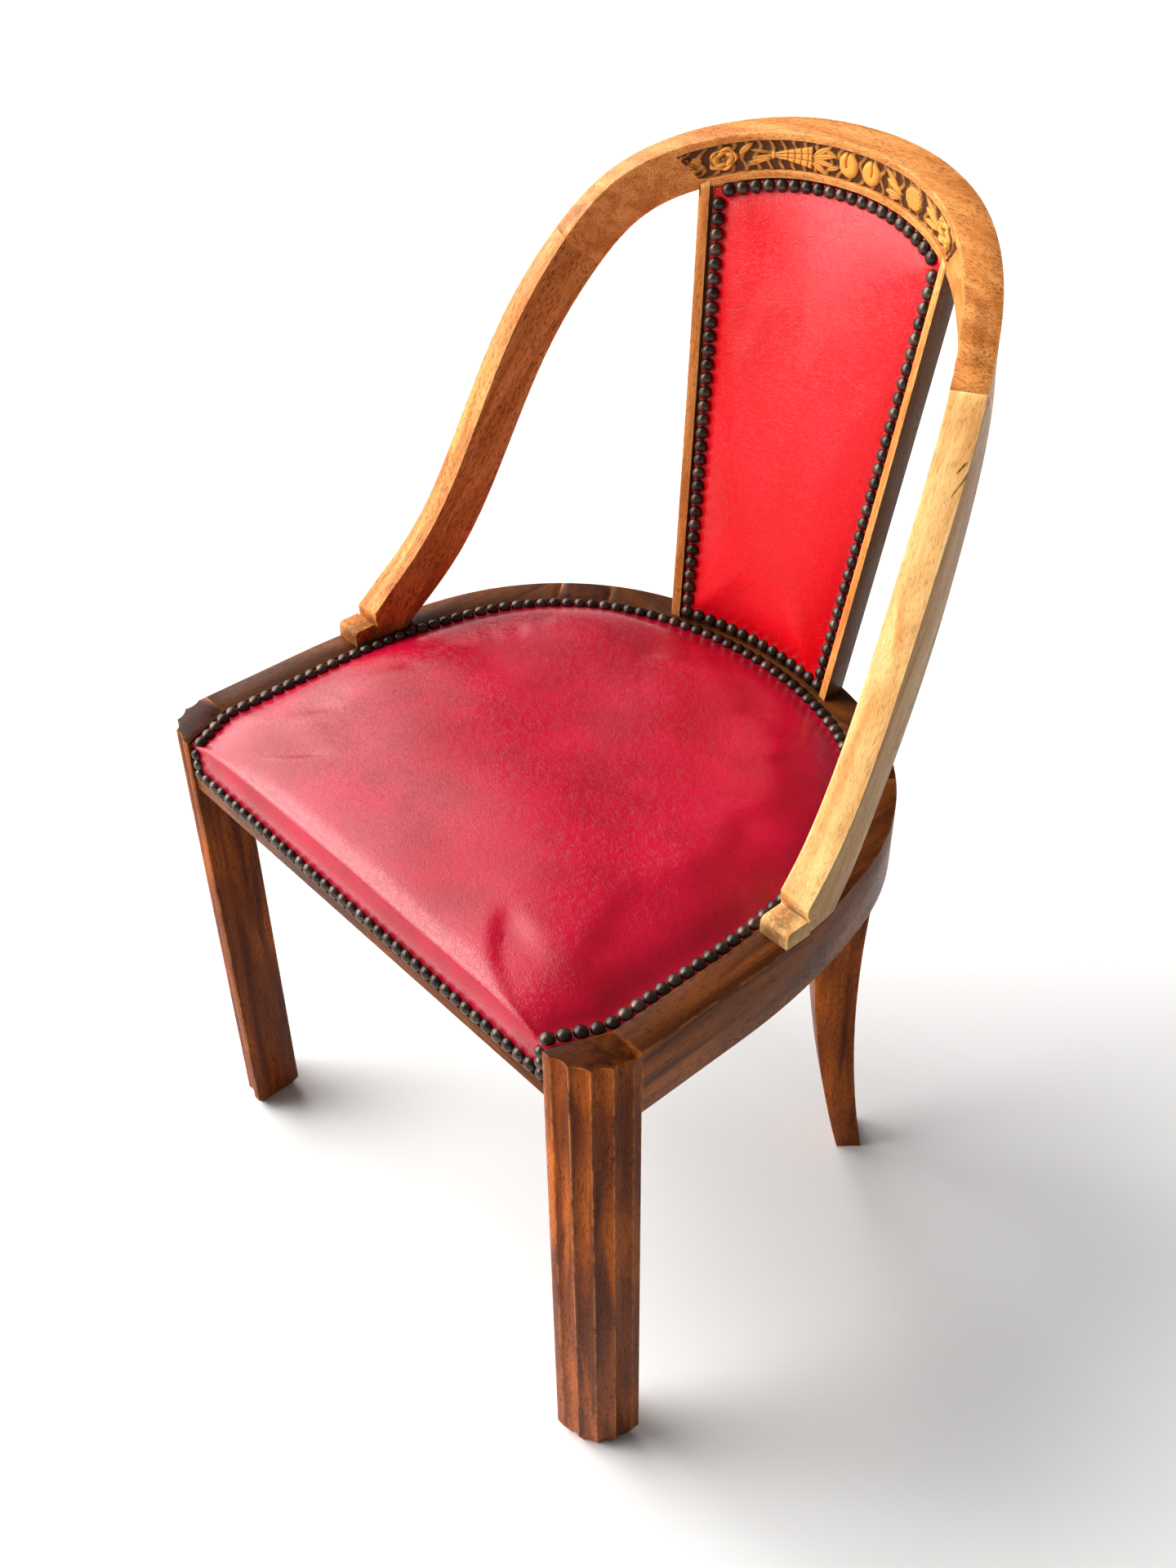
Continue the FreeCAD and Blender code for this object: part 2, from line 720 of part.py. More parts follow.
def splat_nail_places(depth, side):
    """Nails round one face of the splat: two columns, a straight row below and an arched one above."""
    inset = cover_gap + nail_edge_gap + nail_radius
    low = inset / splat_rise

    def column_x(level):
        return splat_half(level) - stile_strip - inset

    samples = []
    first, last = seam_place(), seam_place(left=True)
    for i in range(arch_samples + 1):
        point, inward, down = hoop_frame(first + (last - first) * i / arch_samples)
        lowered = point + inward * (hoop_thickness - depth) + down * (hoop_depth + inset)
        height = lowered.z - rail_top
        if abs(lowered.x) <= column_x(height / splat_rise):
            samples.append(Vector(lowered.x, height, 0))
    row = Part.makePolygon(samples)
    arch = row.discretize(Number=int(row.Length / (2 * nail_radius + arch_nail_gap)) + 1)
    places = [splat_nail(point.x, point.y / splat_rise, depth, side) for point in arch]
    high = arch[0].y / splat_rise
    for level in spaced(low, high, nail_pitch / splat_rise)[:-1]:
        places += [splat_nail(x, level, depth, side) for x in (-column_x(level), column_x(level))]
    end = column_x(low)
    places += [splat_nail(x, low, depth, side) for x in spaced(-end, end, nail_pitch)[1:-1]]
    return places


def dowel(start, end):
    """Dowel between two points, and the hole that takes it."""
    way = (end - start).normalize()
    length = start.distanceToPoint(end)
    plan = Part.makePolygon(regular_points(dowel_sides, dowel_radius))
    pin = prism(plan, dowel_end_gap, length - dowel_end_gap)
    pin.Placement = FreeCAD.Placement(start, FreeCAD.Rotation(up, way))
    return pin, rod(start, way, length, dowel_radius + dowel_gap)


def across_joint(joint, way, depth=dowel_depth):
    return dowel(joint - way * depth, joint + way * depth)


def frame_dowels():
    """Dowels of the right half of the seat frame."""
    front_way = Vector(1, 0, 0)
    side_way = Vector(0, 1, 0)
    front_middle = (front_face_y + front_rebate_depth + front_rail_back) / 2
    pairs = []
    for height in front_dowel_heights:
        pairs.append(across_joint(Vector(leg_inner_x, front_middle, front_rail_bottom + height), front_way))
    rear_middle = rear_top - rear_out * (rail_thickness / 2)
    half_leg = rear_along * (rear_leg_width / 2)
    for height in side_dowel_heights:
        z = rail_bottom + height
        pairs.append(across_joint(Vector(rail_middle_x, leg_back_y, z), side_way))
        for joint in (rear_middle - half_leg, rear_middle + half_leg):
            pairs.append(across_joint(at_height(joint, z), rear_along))
    return pairs


def arm_dowels():
    """Upright dowels between the right arm and its side rail."""
    x = hoop_points[arm_foot_station].x - hoop_thickness / 2
    return [across_joint(Vector(x, y, rail_top), up) for y in arm_dowel_places]


def crest_dowels():
    """Dowels across the right seam between arm and crest."""
    point, inward, down = hoop_frame(seam_place())
    way = hoop_edge.tangent(seam_place())[0]
    middle = point + inward * (hoop_thickness / 2) + down * (hoop_depth / 2)
    return [across_joint(middle + down * spread, way) for spread in (-crest_dowel_spread, crest_dowel_spread)]


def splat_dowels():
    """Dowels of the right stile: into the back rail, the crest and the two cross rails."""
    middle = splat_thickness / 2
    top = splat_top_level()
    foot = splat_point(splat_half(0) - stile_width / 2, 0, middle)
    head = splat_point(splat_half(top) - stile_width / 2, top, middle)
    way = (head - foot).normalize()
    pairs = [across_joint(foot, way), across_joint(head, way)]
    half_rail = splat_rail_height / (2 * splat_rise)
    for level in (half_rail, top - half_rail):
        joint = splat_half(level) - stile_width
        ends = [splat_point(joint + side * splat_dowel_depth, level, middle) for side in (-1, 1)]
        pairs.append(dowel(*ends))
    return pairs


def corner_block():
    """Right corner block inside the front of the frame, with counterbored screw holes, and its screws."""
    corner = Vector(half_width - rail_thickness, front_rail_back, front_rail_bottom + block_lift)
    steps = [
        (block_leg, 0),
        (block_notch, 0),
        (0, block_notch),
        (0, block_leg),
        (block_end, block_leg),
        (block_leg, block_end),
        (block_leg, 0),
    ]
    plan = Part.makePolygon([corner + Vector(-back, along, 0) for back, along in steps])
    block = prism(plan, corner.z, corner.z + block_height)
    screws = []
    holes = []
    ways = (Vector(0, -1, 0), Vector(1, 0, 0))
    for way, side, height in zip(ways, (Vector(-1, 0, 0), Vector(0, 1, 0)), screw_heights):
        seat = corner + side * screw_place - way * screw_grip + up * height
        shank = rod(seat, way, screw_length, screw_radius)
        head = rod(seat, way * -1, screw_head_height, screw_head_radius)
        screws.append(head.fuse(shank).removeSplitter())
        holes.append(rod(seat, way, screw_length + screw_gap, screw_radius + screw_gap))
        holes.append(rod(seat, way * -1, block_leg, screw_head_radius + screw_gap))
    return block.cut(Part.makeCompound(holes)), screws, holes[0], holes[2]


def export(name, shape):
    """Write one piece, or a group of like pieces, as a STEP file."""
    if isinstance(shape, list):
        shape = Part.makeCompound(shape)
    shape.exportStep("parts/" + name + ".step")


def export_pair(name, right):
    """Write a piece and its mirror image."""
    export(name + "_right", right)
    export(name + "_left", mirrored(right))


def pins(pairs):
    return both_sides([pin for pin, hole in pairs])


def holes(pairs):
    return [hole for pin, hole in pairs]


def build():
    """Make every piece and write it."""
    os.makedirs("parts", exist_ok=True)
    whole = hoop(0, hoop_depth, 0, hoop_thickness)
    recess = seat_recess()
    side, back = rails()
    frame = frame_dowels()
    arms = arm_dowels()
    crest = crest_dowels()
    splat = splat_dowels()
    block, screws, front_hole, side_hole = corner_block()
    frame_holes = holes(frame)

    export_pair("front_leg", cut_all(front_leg(), [recess] + frame_holes))
    export_pair("rear_leg", cut_all(rear_leg(), [recess] + frame_holes))
    export_pair("side_rail", cut_all(side, frame_holes + holes(arms) + [side_hole]))
    export("back_rail", cut_all(back, both_sides(frame_holes + holes(splat))))
    export("front_rail", cut_all(front_rail(), both_sides(frame_holes + [front_hole])))
    export_pair("corner_block", block)
    export("corner_block_screws", both_sides(screws))

    export("crest_rail", cut_all(crest_rail(whole), both_sides(holes(crest) + holes(splat))))
    export_pair("arm", cut_all(arm(whole), holes(arms) + holes(crest)))

    top, bottom = splat_cross_rails(whole)
    export_pair("splat_stile", cut_all(splat_stile(whole), holes(splat)))
    export("splat_top_rail", cut_all(top, both_sides(holes(splat))))
    export("splat_bottom_rail", cut_all(bottom, both_sides(holes(splat))))

    cover, pad, hessian, outside = back_upholstery(whole)
    export("back_cover", cover)
    export("back_pad", pad)
    export("back_hessian", hessian)
    export("outside_back_cover", outside)

    export("seat_cover", seat_cover())
    export("seat_pad", seat_pad())
    export("seat_hessian", seat_hessian())
    export("seat_webbing", seat_webbing())

    front_face = splat_rebate - cover_thickness
    rear_face = splat_thickness - splat_rebate + cover_thickness
    export("seat_nails", nails(seat_nail_places()))
    export("front_nails", nails(front_nail_places()))
    export("back_nails", nails(splat_nail_places(front_face, 1)))
    export("outside_back_nails", nails(splat_nail_places(rear_face, -1)))

    export("rail_dowels", pins(frame))
    export("arm_dowels", pins(arms))
    export("crest_dowels", pins(crest))
    export("splat_dowels", pins(splat))


build()
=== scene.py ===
# %% [markdown]
# # A gondola armchair
# The chair is a round-backed wooden armchair with a nailed red leatherette seat and splat. The joinery was
# made to size beforehand and comes in as a fixed frame. This lesson dresses it: wood with grain and wear,
# leatherette over stuffing, rows of domed nails and the carved band under the crest. Units are metres.

# %% The frame
import math
import random

import bmesh
import bpy
from mathutils import Matrix, Vector, noise
from mathutils.bvhtree import BVHTree


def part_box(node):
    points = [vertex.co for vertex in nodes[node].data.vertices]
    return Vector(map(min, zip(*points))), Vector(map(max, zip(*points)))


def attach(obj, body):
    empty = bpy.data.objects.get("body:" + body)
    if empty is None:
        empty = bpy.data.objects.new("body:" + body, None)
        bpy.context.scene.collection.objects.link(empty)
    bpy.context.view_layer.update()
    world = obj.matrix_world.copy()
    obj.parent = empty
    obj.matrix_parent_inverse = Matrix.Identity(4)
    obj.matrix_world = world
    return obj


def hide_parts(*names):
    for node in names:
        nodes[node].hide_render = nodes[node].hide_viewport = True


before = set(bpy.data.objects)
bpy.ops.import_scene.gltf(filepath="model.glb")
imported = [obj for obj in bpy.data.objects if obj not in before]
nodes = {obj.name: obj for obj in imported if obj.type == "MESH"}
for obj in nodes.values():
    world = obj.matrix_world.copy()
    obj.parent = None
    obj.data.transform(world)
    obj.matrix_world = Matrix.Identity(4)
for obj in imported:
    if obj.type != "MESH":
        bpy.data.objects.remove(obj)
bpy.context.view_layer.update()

# %% [markdown]
# ## Camera
# The picture was taken from the front right, looking down at the seat. The camera's place, its three axes
# and its focal length come from the vanishing points of the seat frame and the legs. The frame is 1440 by
# 1920 pixels, so a shift in pixels becomes a share of the long side.

# %% Camera
picture_width, picture_height = 1440, 1920
focal_pixels = 2025.2
centre_pixel = (648.8, 897.3)
camera_place = Vector((0.7728, -0.7055, 1.2366))
camera_right = Vector((0.64712, 0.76162, -0.03413))
camera_down = Vector((0.44433, -0.41316, -0.79490))
camera_forward = Vector((-0.61952, 0.49923, -0.60577))

camera_data = bpy.data.cameras.new("camera")
camera_data.sensor_width = 36.0
camera_data.lens = focal_pixels / picture_height * camera_data.sensor_width
camera_data.shift_x = (picture_width / 2 - centre_pixel[0]) / picture_height
camera_data.shift_y = (centre_pixel[1] - picture_height / 2) / picture_height
camera = bpy.data.objects.new("camera", camera_data)
axes = Matrix((camera_right, -camera_down, -camera_forward)).transposed()
camera.matrix_world = Matrix.Translation(camera_place) @ axes.to_4x4()
bpy.context.scene.collection.objects.link(camera)
bpy.context.scene.camera = camera
bpy.context.scene.view_settings.view_transform = "Standard"
print("camera: lens", round(camera_data.lens, 2), "mm")

# %% [markdown]
# ## Shader helpers
# A material is a small graph. Writing every node and link by hand is long, so one helper adds a node and
# fills its sockets: a plain value is set, and a socket is linked. Effects that several materials share are
# node groups with named inputs and outputs.

# %% Shader helpers
def fill(tree, socket, value):
    """Link a socket into an input, or set the input to a plain value."""
    if isinstance(value, bpy.types.NodeSocket):
        tree.links.new(value, socket)
    else:
        socket.default_value = value


def put(tree, kind, sockets=None, **settings):
    """Add a shader node, set its properties, and fill its inputs by name or number."""
    node = tree.nodes.new("ShaderNode" + kind)
    for name, value in settings.items():
        setattr(node, name, value)
    for name, value in (sockets or {}).items():
        fill(tree, node.inputs[name], value)
    return node


def calc(tree, operation, *terms):
    """A Math node with its terms."""
    return put(tree, "Math", dict(enumerate(terms)), operation=operation).outputs[0]


def mix_colour(tree, share, first, second, blend="MIX"):
    node = put(tree, "Mix", data_type="RGBA", blend_type=blend)
    for number, value in ((0, share), (6, first), (7, second)):
        fill(tree, node.inputs[number], value)
    return node.outputs[2]


def smooth_range(tree, value, low, high):
    """Map a value from low..high to 0..1, clamped and smooth."""
    sockets = {"Value": value, "From Min": low, "From Max": high}
    return put(tree, "MapRange", sockets, interpolation_type="SMOOTHSTEP").outputs[0]


def noise_at(tree, vector, scale, detail=3.0, rough=0.55, distortion=0.0):
    """Noise with its own scale on each axis."""
    scaled = put(tree, "Mapping", {"Vector": vector, "Scale": scale}).outputs[0]
    sockets = {"Vector": scaled, "Scale": 1.0, "Detail": detail, "Roughness": rough, "Distortion": distortion}
    return put(tree, "TexNoise", sockets).outputs["Fac"]


def new_group(name, inputs, outputs):
    """Start a shader node group, and return it with its input sockets and its output node."""
    group = bpy.data.node_groups.new(name, "ShaderNodeTree")
    for label, kind in inputs:
        group.interface.new_socket(label, in_out="INPUT", socket_type="NodeSocket" + kind)
    for label, kind in outputs:
        group.interface.new_socket(label, in_out="OUTPUT", socket_type="NodeSocket" + kind)
    return group, group.nodes.new("NodeGroupInput").outputs, group.nodes.new("NodeGroupOutput")


def use_group(tree, group, sockets):
    node = tree.nodes.new("ShaderNodeGroup")
    node.node_tree = group
    for name, value in sockets.items():
        fill(tree, node.inputs[name], value)
    return node.outputs


def new_material(name, **surface):
    """A material with a Principled surface whose constant sockets are set directly."""
    material = bpy.data.materials.new(name)
    material.use_nodes = True
    shader = material.node_tree.nodes["Principled BSDF"]
    for label, value in surface.items():
        shader.inputs[label.replace("_", " ")].default_value = value
    return material, material.node_tree, shader


def bump(tree, shader, height, distance, strength=1.0):
    """Feed a height into the surface's normal."""
    sockets = {"Height": height, "Distance": distance, "Strength": strength}
    tree.links.new(put(tree, "Bump", sockets).outputs[0], shader.inputs["Normal"])


# %% [markdown]
# ## Wood
# The hoop is a golden hardwood with dense short pores. The legs and rails are darker and redder under old
# varnish. Grain is stretched noise: long streaks for the figure, finer ones for the fibres, and short dark
# flecks for the pores. The group expects its vector turned so that the grain runs along X, so each
# material turns the Object coordinates by its own angles. Corners rub pale, and a Bevel node finds them
# because its rounded normal leans away from the true one there. Old scars and stains are dark spots of the
# material, each round a centre and along a way.
# Faces that look sideways are darkened as painted shade, and faces that look upwards can be darkened too.

# %% Wood grain group
def make_wood_group():
    colours = ("Pale", "Deep", "Pore", "Worn")
    amounts = ("Pores", "Wear", "Patches", "SideShade", "Caps")
    inputs = [("Vector", "Vector")]
    inputs += [(name, "Color") for name in colours] + [(name, "Float") for name in amounts]
    outputs = [("Color", "Color"), ("Roughness", "Float"), ("Height", "Float")]
    group, given, result = new_group("wood_grain", inputs, outputs)
    vector = given["Vector"]

    def grain(along, across, *more):
        return noise_at(group, vector, (along, across, across), *more)

    figure = smooth_range(group, grain(7, 75, 2.0, 0.6, 0.6), 0.32, 0.68)
    fibre = grain(45, 950, 1.0)
    patch = smooth_range(group, grain(9, 16, 1.0, 0.5), 0.36, 0.62)
    flecks = smooth_range(group, grain(170, 1100, 1.0, 0.6), 0.53, 0.63)
    zones = calc(group, "MULTIPLY_ADD", grain(30, 60, 1.0), 0.9, 0.35)
    pore = calc(group, "MULTIPLY", calc(group, "MULTIPLY", flecks, zones), given["Pores"])

    colour = mix_colour(group, figure, given["Deep"], given["Pale"])
    colour = mix_colour(group, 1.0, colour, calc(group, "MULTIPLY_ADD", fibre, 0.5, 0.75), "MULTIPLY")
    colour = mix_colour(group, calc(group, "MULTIPLY", patch, given["Patches"]), colour, given["Deep"])
    colour = mix_colour(group, pore, colour, given["Pore"])

    rounded = put(group, "Bevel", {"Radius": 0.003}, samples=2).outputs[0]
    true_normal = put(group, "NewGeometry").outputs["Normal"]
    lean = put(group, "VectorMath", {0: rounded, 1: true_normal}, operation="DOT_PRODUCT").outputs["Value"]
    edge = smooth_range(group, calc(group, "SUBTRACT", 1.0, lean), 0.01, 0.12)
    rubbed = smooth_range(group, grain(60, 90, 2.0, 0.7), 0.38, 0.62)
    worn = calc(group, "MULTIPLY", calc(group, "MULTIPLY", edge, rubbed), given["Wear"])
    colour = mix_colour(group, worn, colour, given["Worn"])

    # Painted shade: faces that look sideways are darkened by the side amount, as if turned from the light.
    # The caps amount darkens faces that look upwards.
    facing = put(group, "SeparateXYZ", {0: put(group, "TexCoord").outputs["Normal"]}).outputs
    side = smooth_range(group, calc(group, "ABSOLUTE", facing["X"]), 0.55, 0.9)
    cap = smooth_range(group, facing["Z"], 0.9, 0.98)
    shade = calc(group, "MULTIPLY_ADD", side, calc(group, "MULTIPLY", given["SideShade"], -1.0), 1.0)
    shade = calc(group, "MULTIPLY_ADD", cap, calc(group, "MULTIPLY", given["Caps"], -1.0), shade)
    colour = mix_colour(group, 1.0, colour, shade, "MULTIPLY")

    rough = calc(group, "MULTIPLY_ADD", pore, 0.25, calc(group, "MULTIPLY_ADD", fibre, 0.25, 0.24))
    height = calc(group, "SUBTRACT", calc(group, "MULTIPLY", fibre, 0.35), flecks)
    group.links.new(colour, result.inputs["Color"])
    group.links.new(rough, result.inputs["Roughness"])
    group.links.new(height, result.inputs["Height"])
    return group


wood_group = make_wood_group()


def add_mark(tree, place, colour, mark):
    """Darken a colour round one old scar: a centre, a way, half its length and width, and a strength."""
    centre, way, half_length, half_width, strength = mark
    way = Vector(way).normalized()
    offset = put(tree, "VectorMath", {0: place, 1: centre}, operation="SUBTRACT").outputs[0]
    run = put(tree, "VectorMath", {0: offset, 1: way}, operation="DOT_PRODUCT").outputs["Value"]
    whole = put(tree, "VectorMath", {0: offset}, operation="LENGTH").outputs["Value"]
    square = calc(tree, "SUBTRACT", calc(tree, "MULTIPLY", whole, whole), calc(tree, "MULTIPLY", run, run))
    aside = calc(tree, "DIVIDE", calc(tree, "SQRT", calc(tree, "MAXIMUM", square, 0.0)), half_width)
    ragged = calc(tree, "MULTIPLY_ADD", noise_at(tree, place, (300, 300, 300), 2.0, 0.6), 0.9, aside)
    ahead = calc(tree, "DIVIDE", calc(tree, "ABSOLUTE", run), half_length)
    clear = smooth_range(tree, calc(tree, "MAXIMUM", ragged, ahead), 0.7, 1.3)
    share = calc(tree, "MULTIPLY_ADD", clear, -strength, strength)
    return mix_colour(tree, share, colour, (0.075, 0.018, 0.005, 1.0))


def make_wood(name, grain_way, tones, pores, wear, patches, sides=0.0, caps=0.0, marks=()):
    """A wood finish whose grain runs along a direction. Tones are pale, deep, pore and worn.

    Side shade is painted shade on faces that look sideways; caps darken upward faces; marks are old scars.
    """
    material, tree, shader = new_material(name, Specular_IOR_Level=0.1)
    turn = Vector(grain_way).rotation_difference(Vector((1, 0, 0))).to_euler("XYZ")
    place = put(tree, "TexCoord").outputs["Object"]
    turned = put(tree, "Mapping", {"Vector": place, "Rotation": turn}).outputs[0]
    sockets = {"Vector": turned, "Pores": pores, "Wear": wear, "Patches": patches}
    sockets.update({"SideShade": sides, "Caps": caps})
    for label, tone in zip(("Pale", "Deep", "Pore", "Worn"), tones):
        sockets[label] = (*tone, 1.0)
    made = use_group(tree, wood_group, sockets)
    colour = made["Color"]
    for mark in marks:
        colour = add_mark(tree, place, colour, mark)
    tree.links.new(colour, shader.inputs["Base Color"])
    tree.links.new(made["Roughness"], shader.inputs["Roughness"])
    bump(tree, shader, made["Height"], 0.0002, 0.3)
    return material


golden = ((0.88, 0.360, 0.100), (0.58, 0.185, 0.038), (0.070, 0.018, 0.004), (0.95, 0.58, 0.19))
pale_gold = ((0.96, 0.600, 0.240), (0.72, 0.320, 0.092), (0.110, 0.034, 0.008), (0.98, 0.72, 0.36))
brown = ((0.28, 0.078, 0.014), (0.085, 0.021, 0.004), (0.03, 0.008, 0.003), (0.52, 0.22, 0.065))
russet = ((0.47, 0.104, 0.006), (0.135, 0.023, 0.002), (0.03, 0.006, 0.001), (0.72, 0.28, 0.045))
raw = ((0.62, 0.36, 0.17), (0.5, 0.26, 0.1), (0.3, 0.15, 0.06), (0.7, 0.45, 0.22))
arm_scars = [
    ((0.2185, 0.1075, 0.7190), (0.3, 0.5, 0.8), 0.0060, 0.0012, 0.9),
    ((0.2235, 0.1070, 0.7160), (0.1, 0.6, 0.8), 0.0075, 0.0013, 0.9),
    ((0.2215, 0.0995, 0.7060), (0.2, 0.5, 0.8), 0.0050, 0.0011, 0.8),
    ((0.2470, -0.0640, 0.4470), (0, 1, 0), 0.020, 0.018, 0.6),
]
toe_stain = ((-0.2420, -0.0640, 0.4470), (0, 1, 0), 0.020, 0.018, 0.6)
crest_stains = [
    ((-0.1960, 0.1400, 0.7680), (-0.45, -0.45, -0.75), 0.020, 0.012, 0.45),
    ((0.1837, 0.1560, 0.7889), (0.4, -0.45, -0.75), 0.026, 0.008, 0.30),
]
sideways, lengthways, upright = (1, 0, 0), (0, 1, 0), (0, 0, 1)
# The sixth number is painted shade on faces that look sideways; the seventh darkens upward faces.
recipes = {
    "crest_wood": (sideways, golden, 0.6, 0.8, 0.35, 0.0, 0.0, crest_stains),
    "arm_left_wood": ((0.13, 0.56, 0.82), golden, 0.8, 0.8, 0.4, 0.15, 0.0, [toe_stain]),
    "arm_right_wood": ((-0.13, 0.56, 0.82), pale_gold, 0.35, 0.9, 0.3, 0.5, 0.0, arm_scars),
    "stile_wood": ((0.05, 0.05, 1), golden, 0.5, 0.6, 0.4, 0.85),
    "cross_wood": (sideways, brown, 0.5, 0.7, 0.5, 0.0, 0.35),
    "side_wood": (lengthways, brown, 0.6, 0.7, 0.5, 0.0, 0.35),
    "leg_wood": (upright, russet, 0.6, 0.9, 0.55, 0.35, 0.75),
    "raw_wood": (sideways, raw, 0.3, 0.2, 0.2),
}
woods = {name: make_wood(name, *recipe) for name, recipe in recipes.items()}
print("wood: one group,", len(woods), "finishes")

# %% [markdown]
# ## The joinery
# The joinery keeps its shape. A Weld modifier joins its loose triangles, and a narrow Bevel rounds its
# corners so that they catch the light as sanded corners do.

# %% Joinery finishes
def finish_joinery(name, material, round_over):
    piece = nodes[name]
    piece.data.materials.clear()
    piece.data.materials.append(material)
    for face in piece.data.polygons:
        face.use_smooth = True
    weld = piece.modifiers.new("weld", "WELD")
    weld.merge_threshold = 0.00001
    soften = piece.modifiers.new("soften", "BEVEL")
    soften.width = round_over
    soften.segments = 2
    soften.limit_method = "ANGLE"
    soften.angle_limit = math.radians(28)
    soften.harden_normals = True


finishes = {
    "crest_wood": ("crest_rail",),
    "arm_left_wood": ("arm_left",),
    "arm_right_wood": ("arm_right",),
    "stile_wood": ("splat_stile_left", "splat_stile_right"),
    "cross_wood": ("front_rail", "back_rail", "splat_top_rail", "splat_bottom_rail"),
    "side_wood": ("side_rail_left", "side_rail_right"),
    "leg_wood": ("front_leg_left", "front_leg_right", "rear_leg_left", "rear_leg_right"),
    "raw_wood": ("corner_block_left", "corner_block_right"),
}
for finish, names in finishes.items():
    for name in names:
        finish_joinery(name, woods[finish], 0.0011)

dowel_wood, tree, shader = new_material("dowel_wood", Base_Color=(0.62, 0.42, 0.22, 1), Roughness=0.6)
steel = {"Base_Color": (0.35, 0.34, 0.32, 1), "Metallic": 1.0, "Roughness": 0.45}
screw_steel, tree, shader = new_material("screw_steel", **steel)
for name in ("rail_dowels", "arm_dowels", "crest_dowels", "splat_dowels"):
    nodes[name].data.materials.clear()
    nodes[name].data.materials.append(dowel_wood)
nodes["corner_block_screws"].data.materials.clear()
nodes["corner_block_screws"].data.materials.append(screw_steel)
print("joinery: finished", sum(len(names) for names in finishes.values()), "pieces")

# %% [markdown]
# ## Leatherette
# The leatherette is an embossed sheet: small pebbles with fine wrinkles running through them, a satin
# surface, and a colour that varies a little from spot to spot. Voronoi cells make the pebbles, and
# stretched noise makes the wrinkles.
# The wrinkle lines also darken the colour a little, as painted shade.

# %% Leatherette
def make_leather_group():
    outputs = [("Tone", "Float"), ("Crease", "Float"), ("Height", "Float"), ("Roughness", "Float")]
    group, given, result = new_group("leather_grain", [("Vector", "Vector")], outputs)
    vector = given["Vector"]
    warp = put(group, "TexNoise", {"Vector": vector, "Scale": 130.0, "Detail": 1.0})
    reach = (0.006, 0.006, 0.006)
    bent = put(group, "VectorMath", {0: warp.outputs["Color"], 1: reach}, operation="MULTIPLY")
    moved = put(group, "VectorMath", {0: vector, 1: bent.outputs[0]}, operation="ADD").outputs[0]
    cells = put(group, "TexVoronoi", {"Vector": moved, "Scale": 640.0}, feature="DISTANCE_TO_EDGE")
    pebble = smooth_range(group, cells.outputs["Distance"], 0.0, 0.28)
    crease = noise_at(group, moved, (150, 300, 210), 3.0, 0.6)
    crease = calc(group, "ABSOLUTE", calc(group, "SUBTRACT", crease, 0.5))
    crease = smooth_range(group, crease, 0.0, 0.05)
    tone = noise_at(group, vector, (14, 14, 14), 2.0, 0.6)
    height = calc(group, "MULTIPLY_ADD", crease, 0.8, calc(group, "MULTIPLY", pebble, 0.35))
    rough = calc(group, "MULTIPLY_ADD", noise_at(group, vector, (25, 25, 25), 1.0), 0.12, 0.13)
    group.links.new(tone, result.inputs["Tone"])
    group.links.new(crease, result.inputs["Crease"])
    group.links.new(height, result.inputs["Height"])
    group.links.new(rough, result.inputs["Roughness"])
    return group


leather_group = make_leather_group()


def make_leather(name, fresh, faded, sheen):
    material, tree, shader = new_material(name, Specular_IOR_Level=sheen)
    place = put(tree, "TexCoord").outputs["Object"]
    made = use_group(tree, leather_group, {"Vector": place})
    share = smooth_range(tree, made["Tone"], 0.35, 0.68)
    colour = mix_colour(tree, share, (*fresh, 1.0), (*faded, 1.0))
    # Painted shade: the colour is darkened by a fifth along the wrinkle lines.
    crease_shade = calc(tree, "MULTIPLY_ADD", made["Crease"], 0.20, 0.80)
    colour = mix_colour(tree, 1.0, colour, crease_shade, "MULTIPLY")
    tree.links.new(colour, shader.inputs["Base Color"])
    tree.links.new(made["Roughness"], shader.inputs["Roughness"])
    bump(tree, shader, made["Height"], 0.0003, 0.3)
    return material


# The seat's red is darker than the back's: its crimson hue is its own, its lower brightness is painted shade.
seat_leather = make_leather("seat_leather", (0.40, 0.001, 0.017), (0.53, 0.002, 0.031), 0.46)
back_leather = make_leather("back_leather", (0.72, 0.001, 0.005), (0.82, 0.002, 0.011), 0.3)
print("leatherette: two finishes")

# %% [markdown]
# ## Sheets over stuffing
# A stuffed panel is a sheet that is nailed down round its border and swells inside it. Its mesh is a set of
# rings that shrink from the border towards the middle, so the border stays clean and the rows are close
# where the sheet turns. The outline comes from the fixed frame, seen from above or from the front.

# %% Panel helpers
def world_points(name):
    source = nodes[name]
    return [source.matrix_world @ vertex.co for vertex in source.data.vertices]


def tree_of(name):
    """Search tree over the triangles of a node, in world coordinates."""
    faces = [tuple(face.vertices) for face in nodes[name].data.polygons]
    return BVHTree.FromPolygons(world_points(name), faces)


def islands(name):
    """The corner points of each separate solid in a node."""
    bm = bmesh.new()
    bm.from_mesh(nodes[name].data)
    bmesh.ops.remove_doubles(bm, verts=bm.verts, dist=0.00002)
    seen, found = set(), []
    for first in bm.verts:
        if first in seen:
            continue
        queue, points = [first], []
        seen.add(first)
        while queue:
            vertex = queue.pop()
            points.append(vertex.co.copy())
            for edge in vertex.link_edges:
                other = edge.other_vert(vertex)
                if other not in seen:
                    seen.add(other)
                    queue.append(other)
        found.append(points)
    bm.free()
    return found


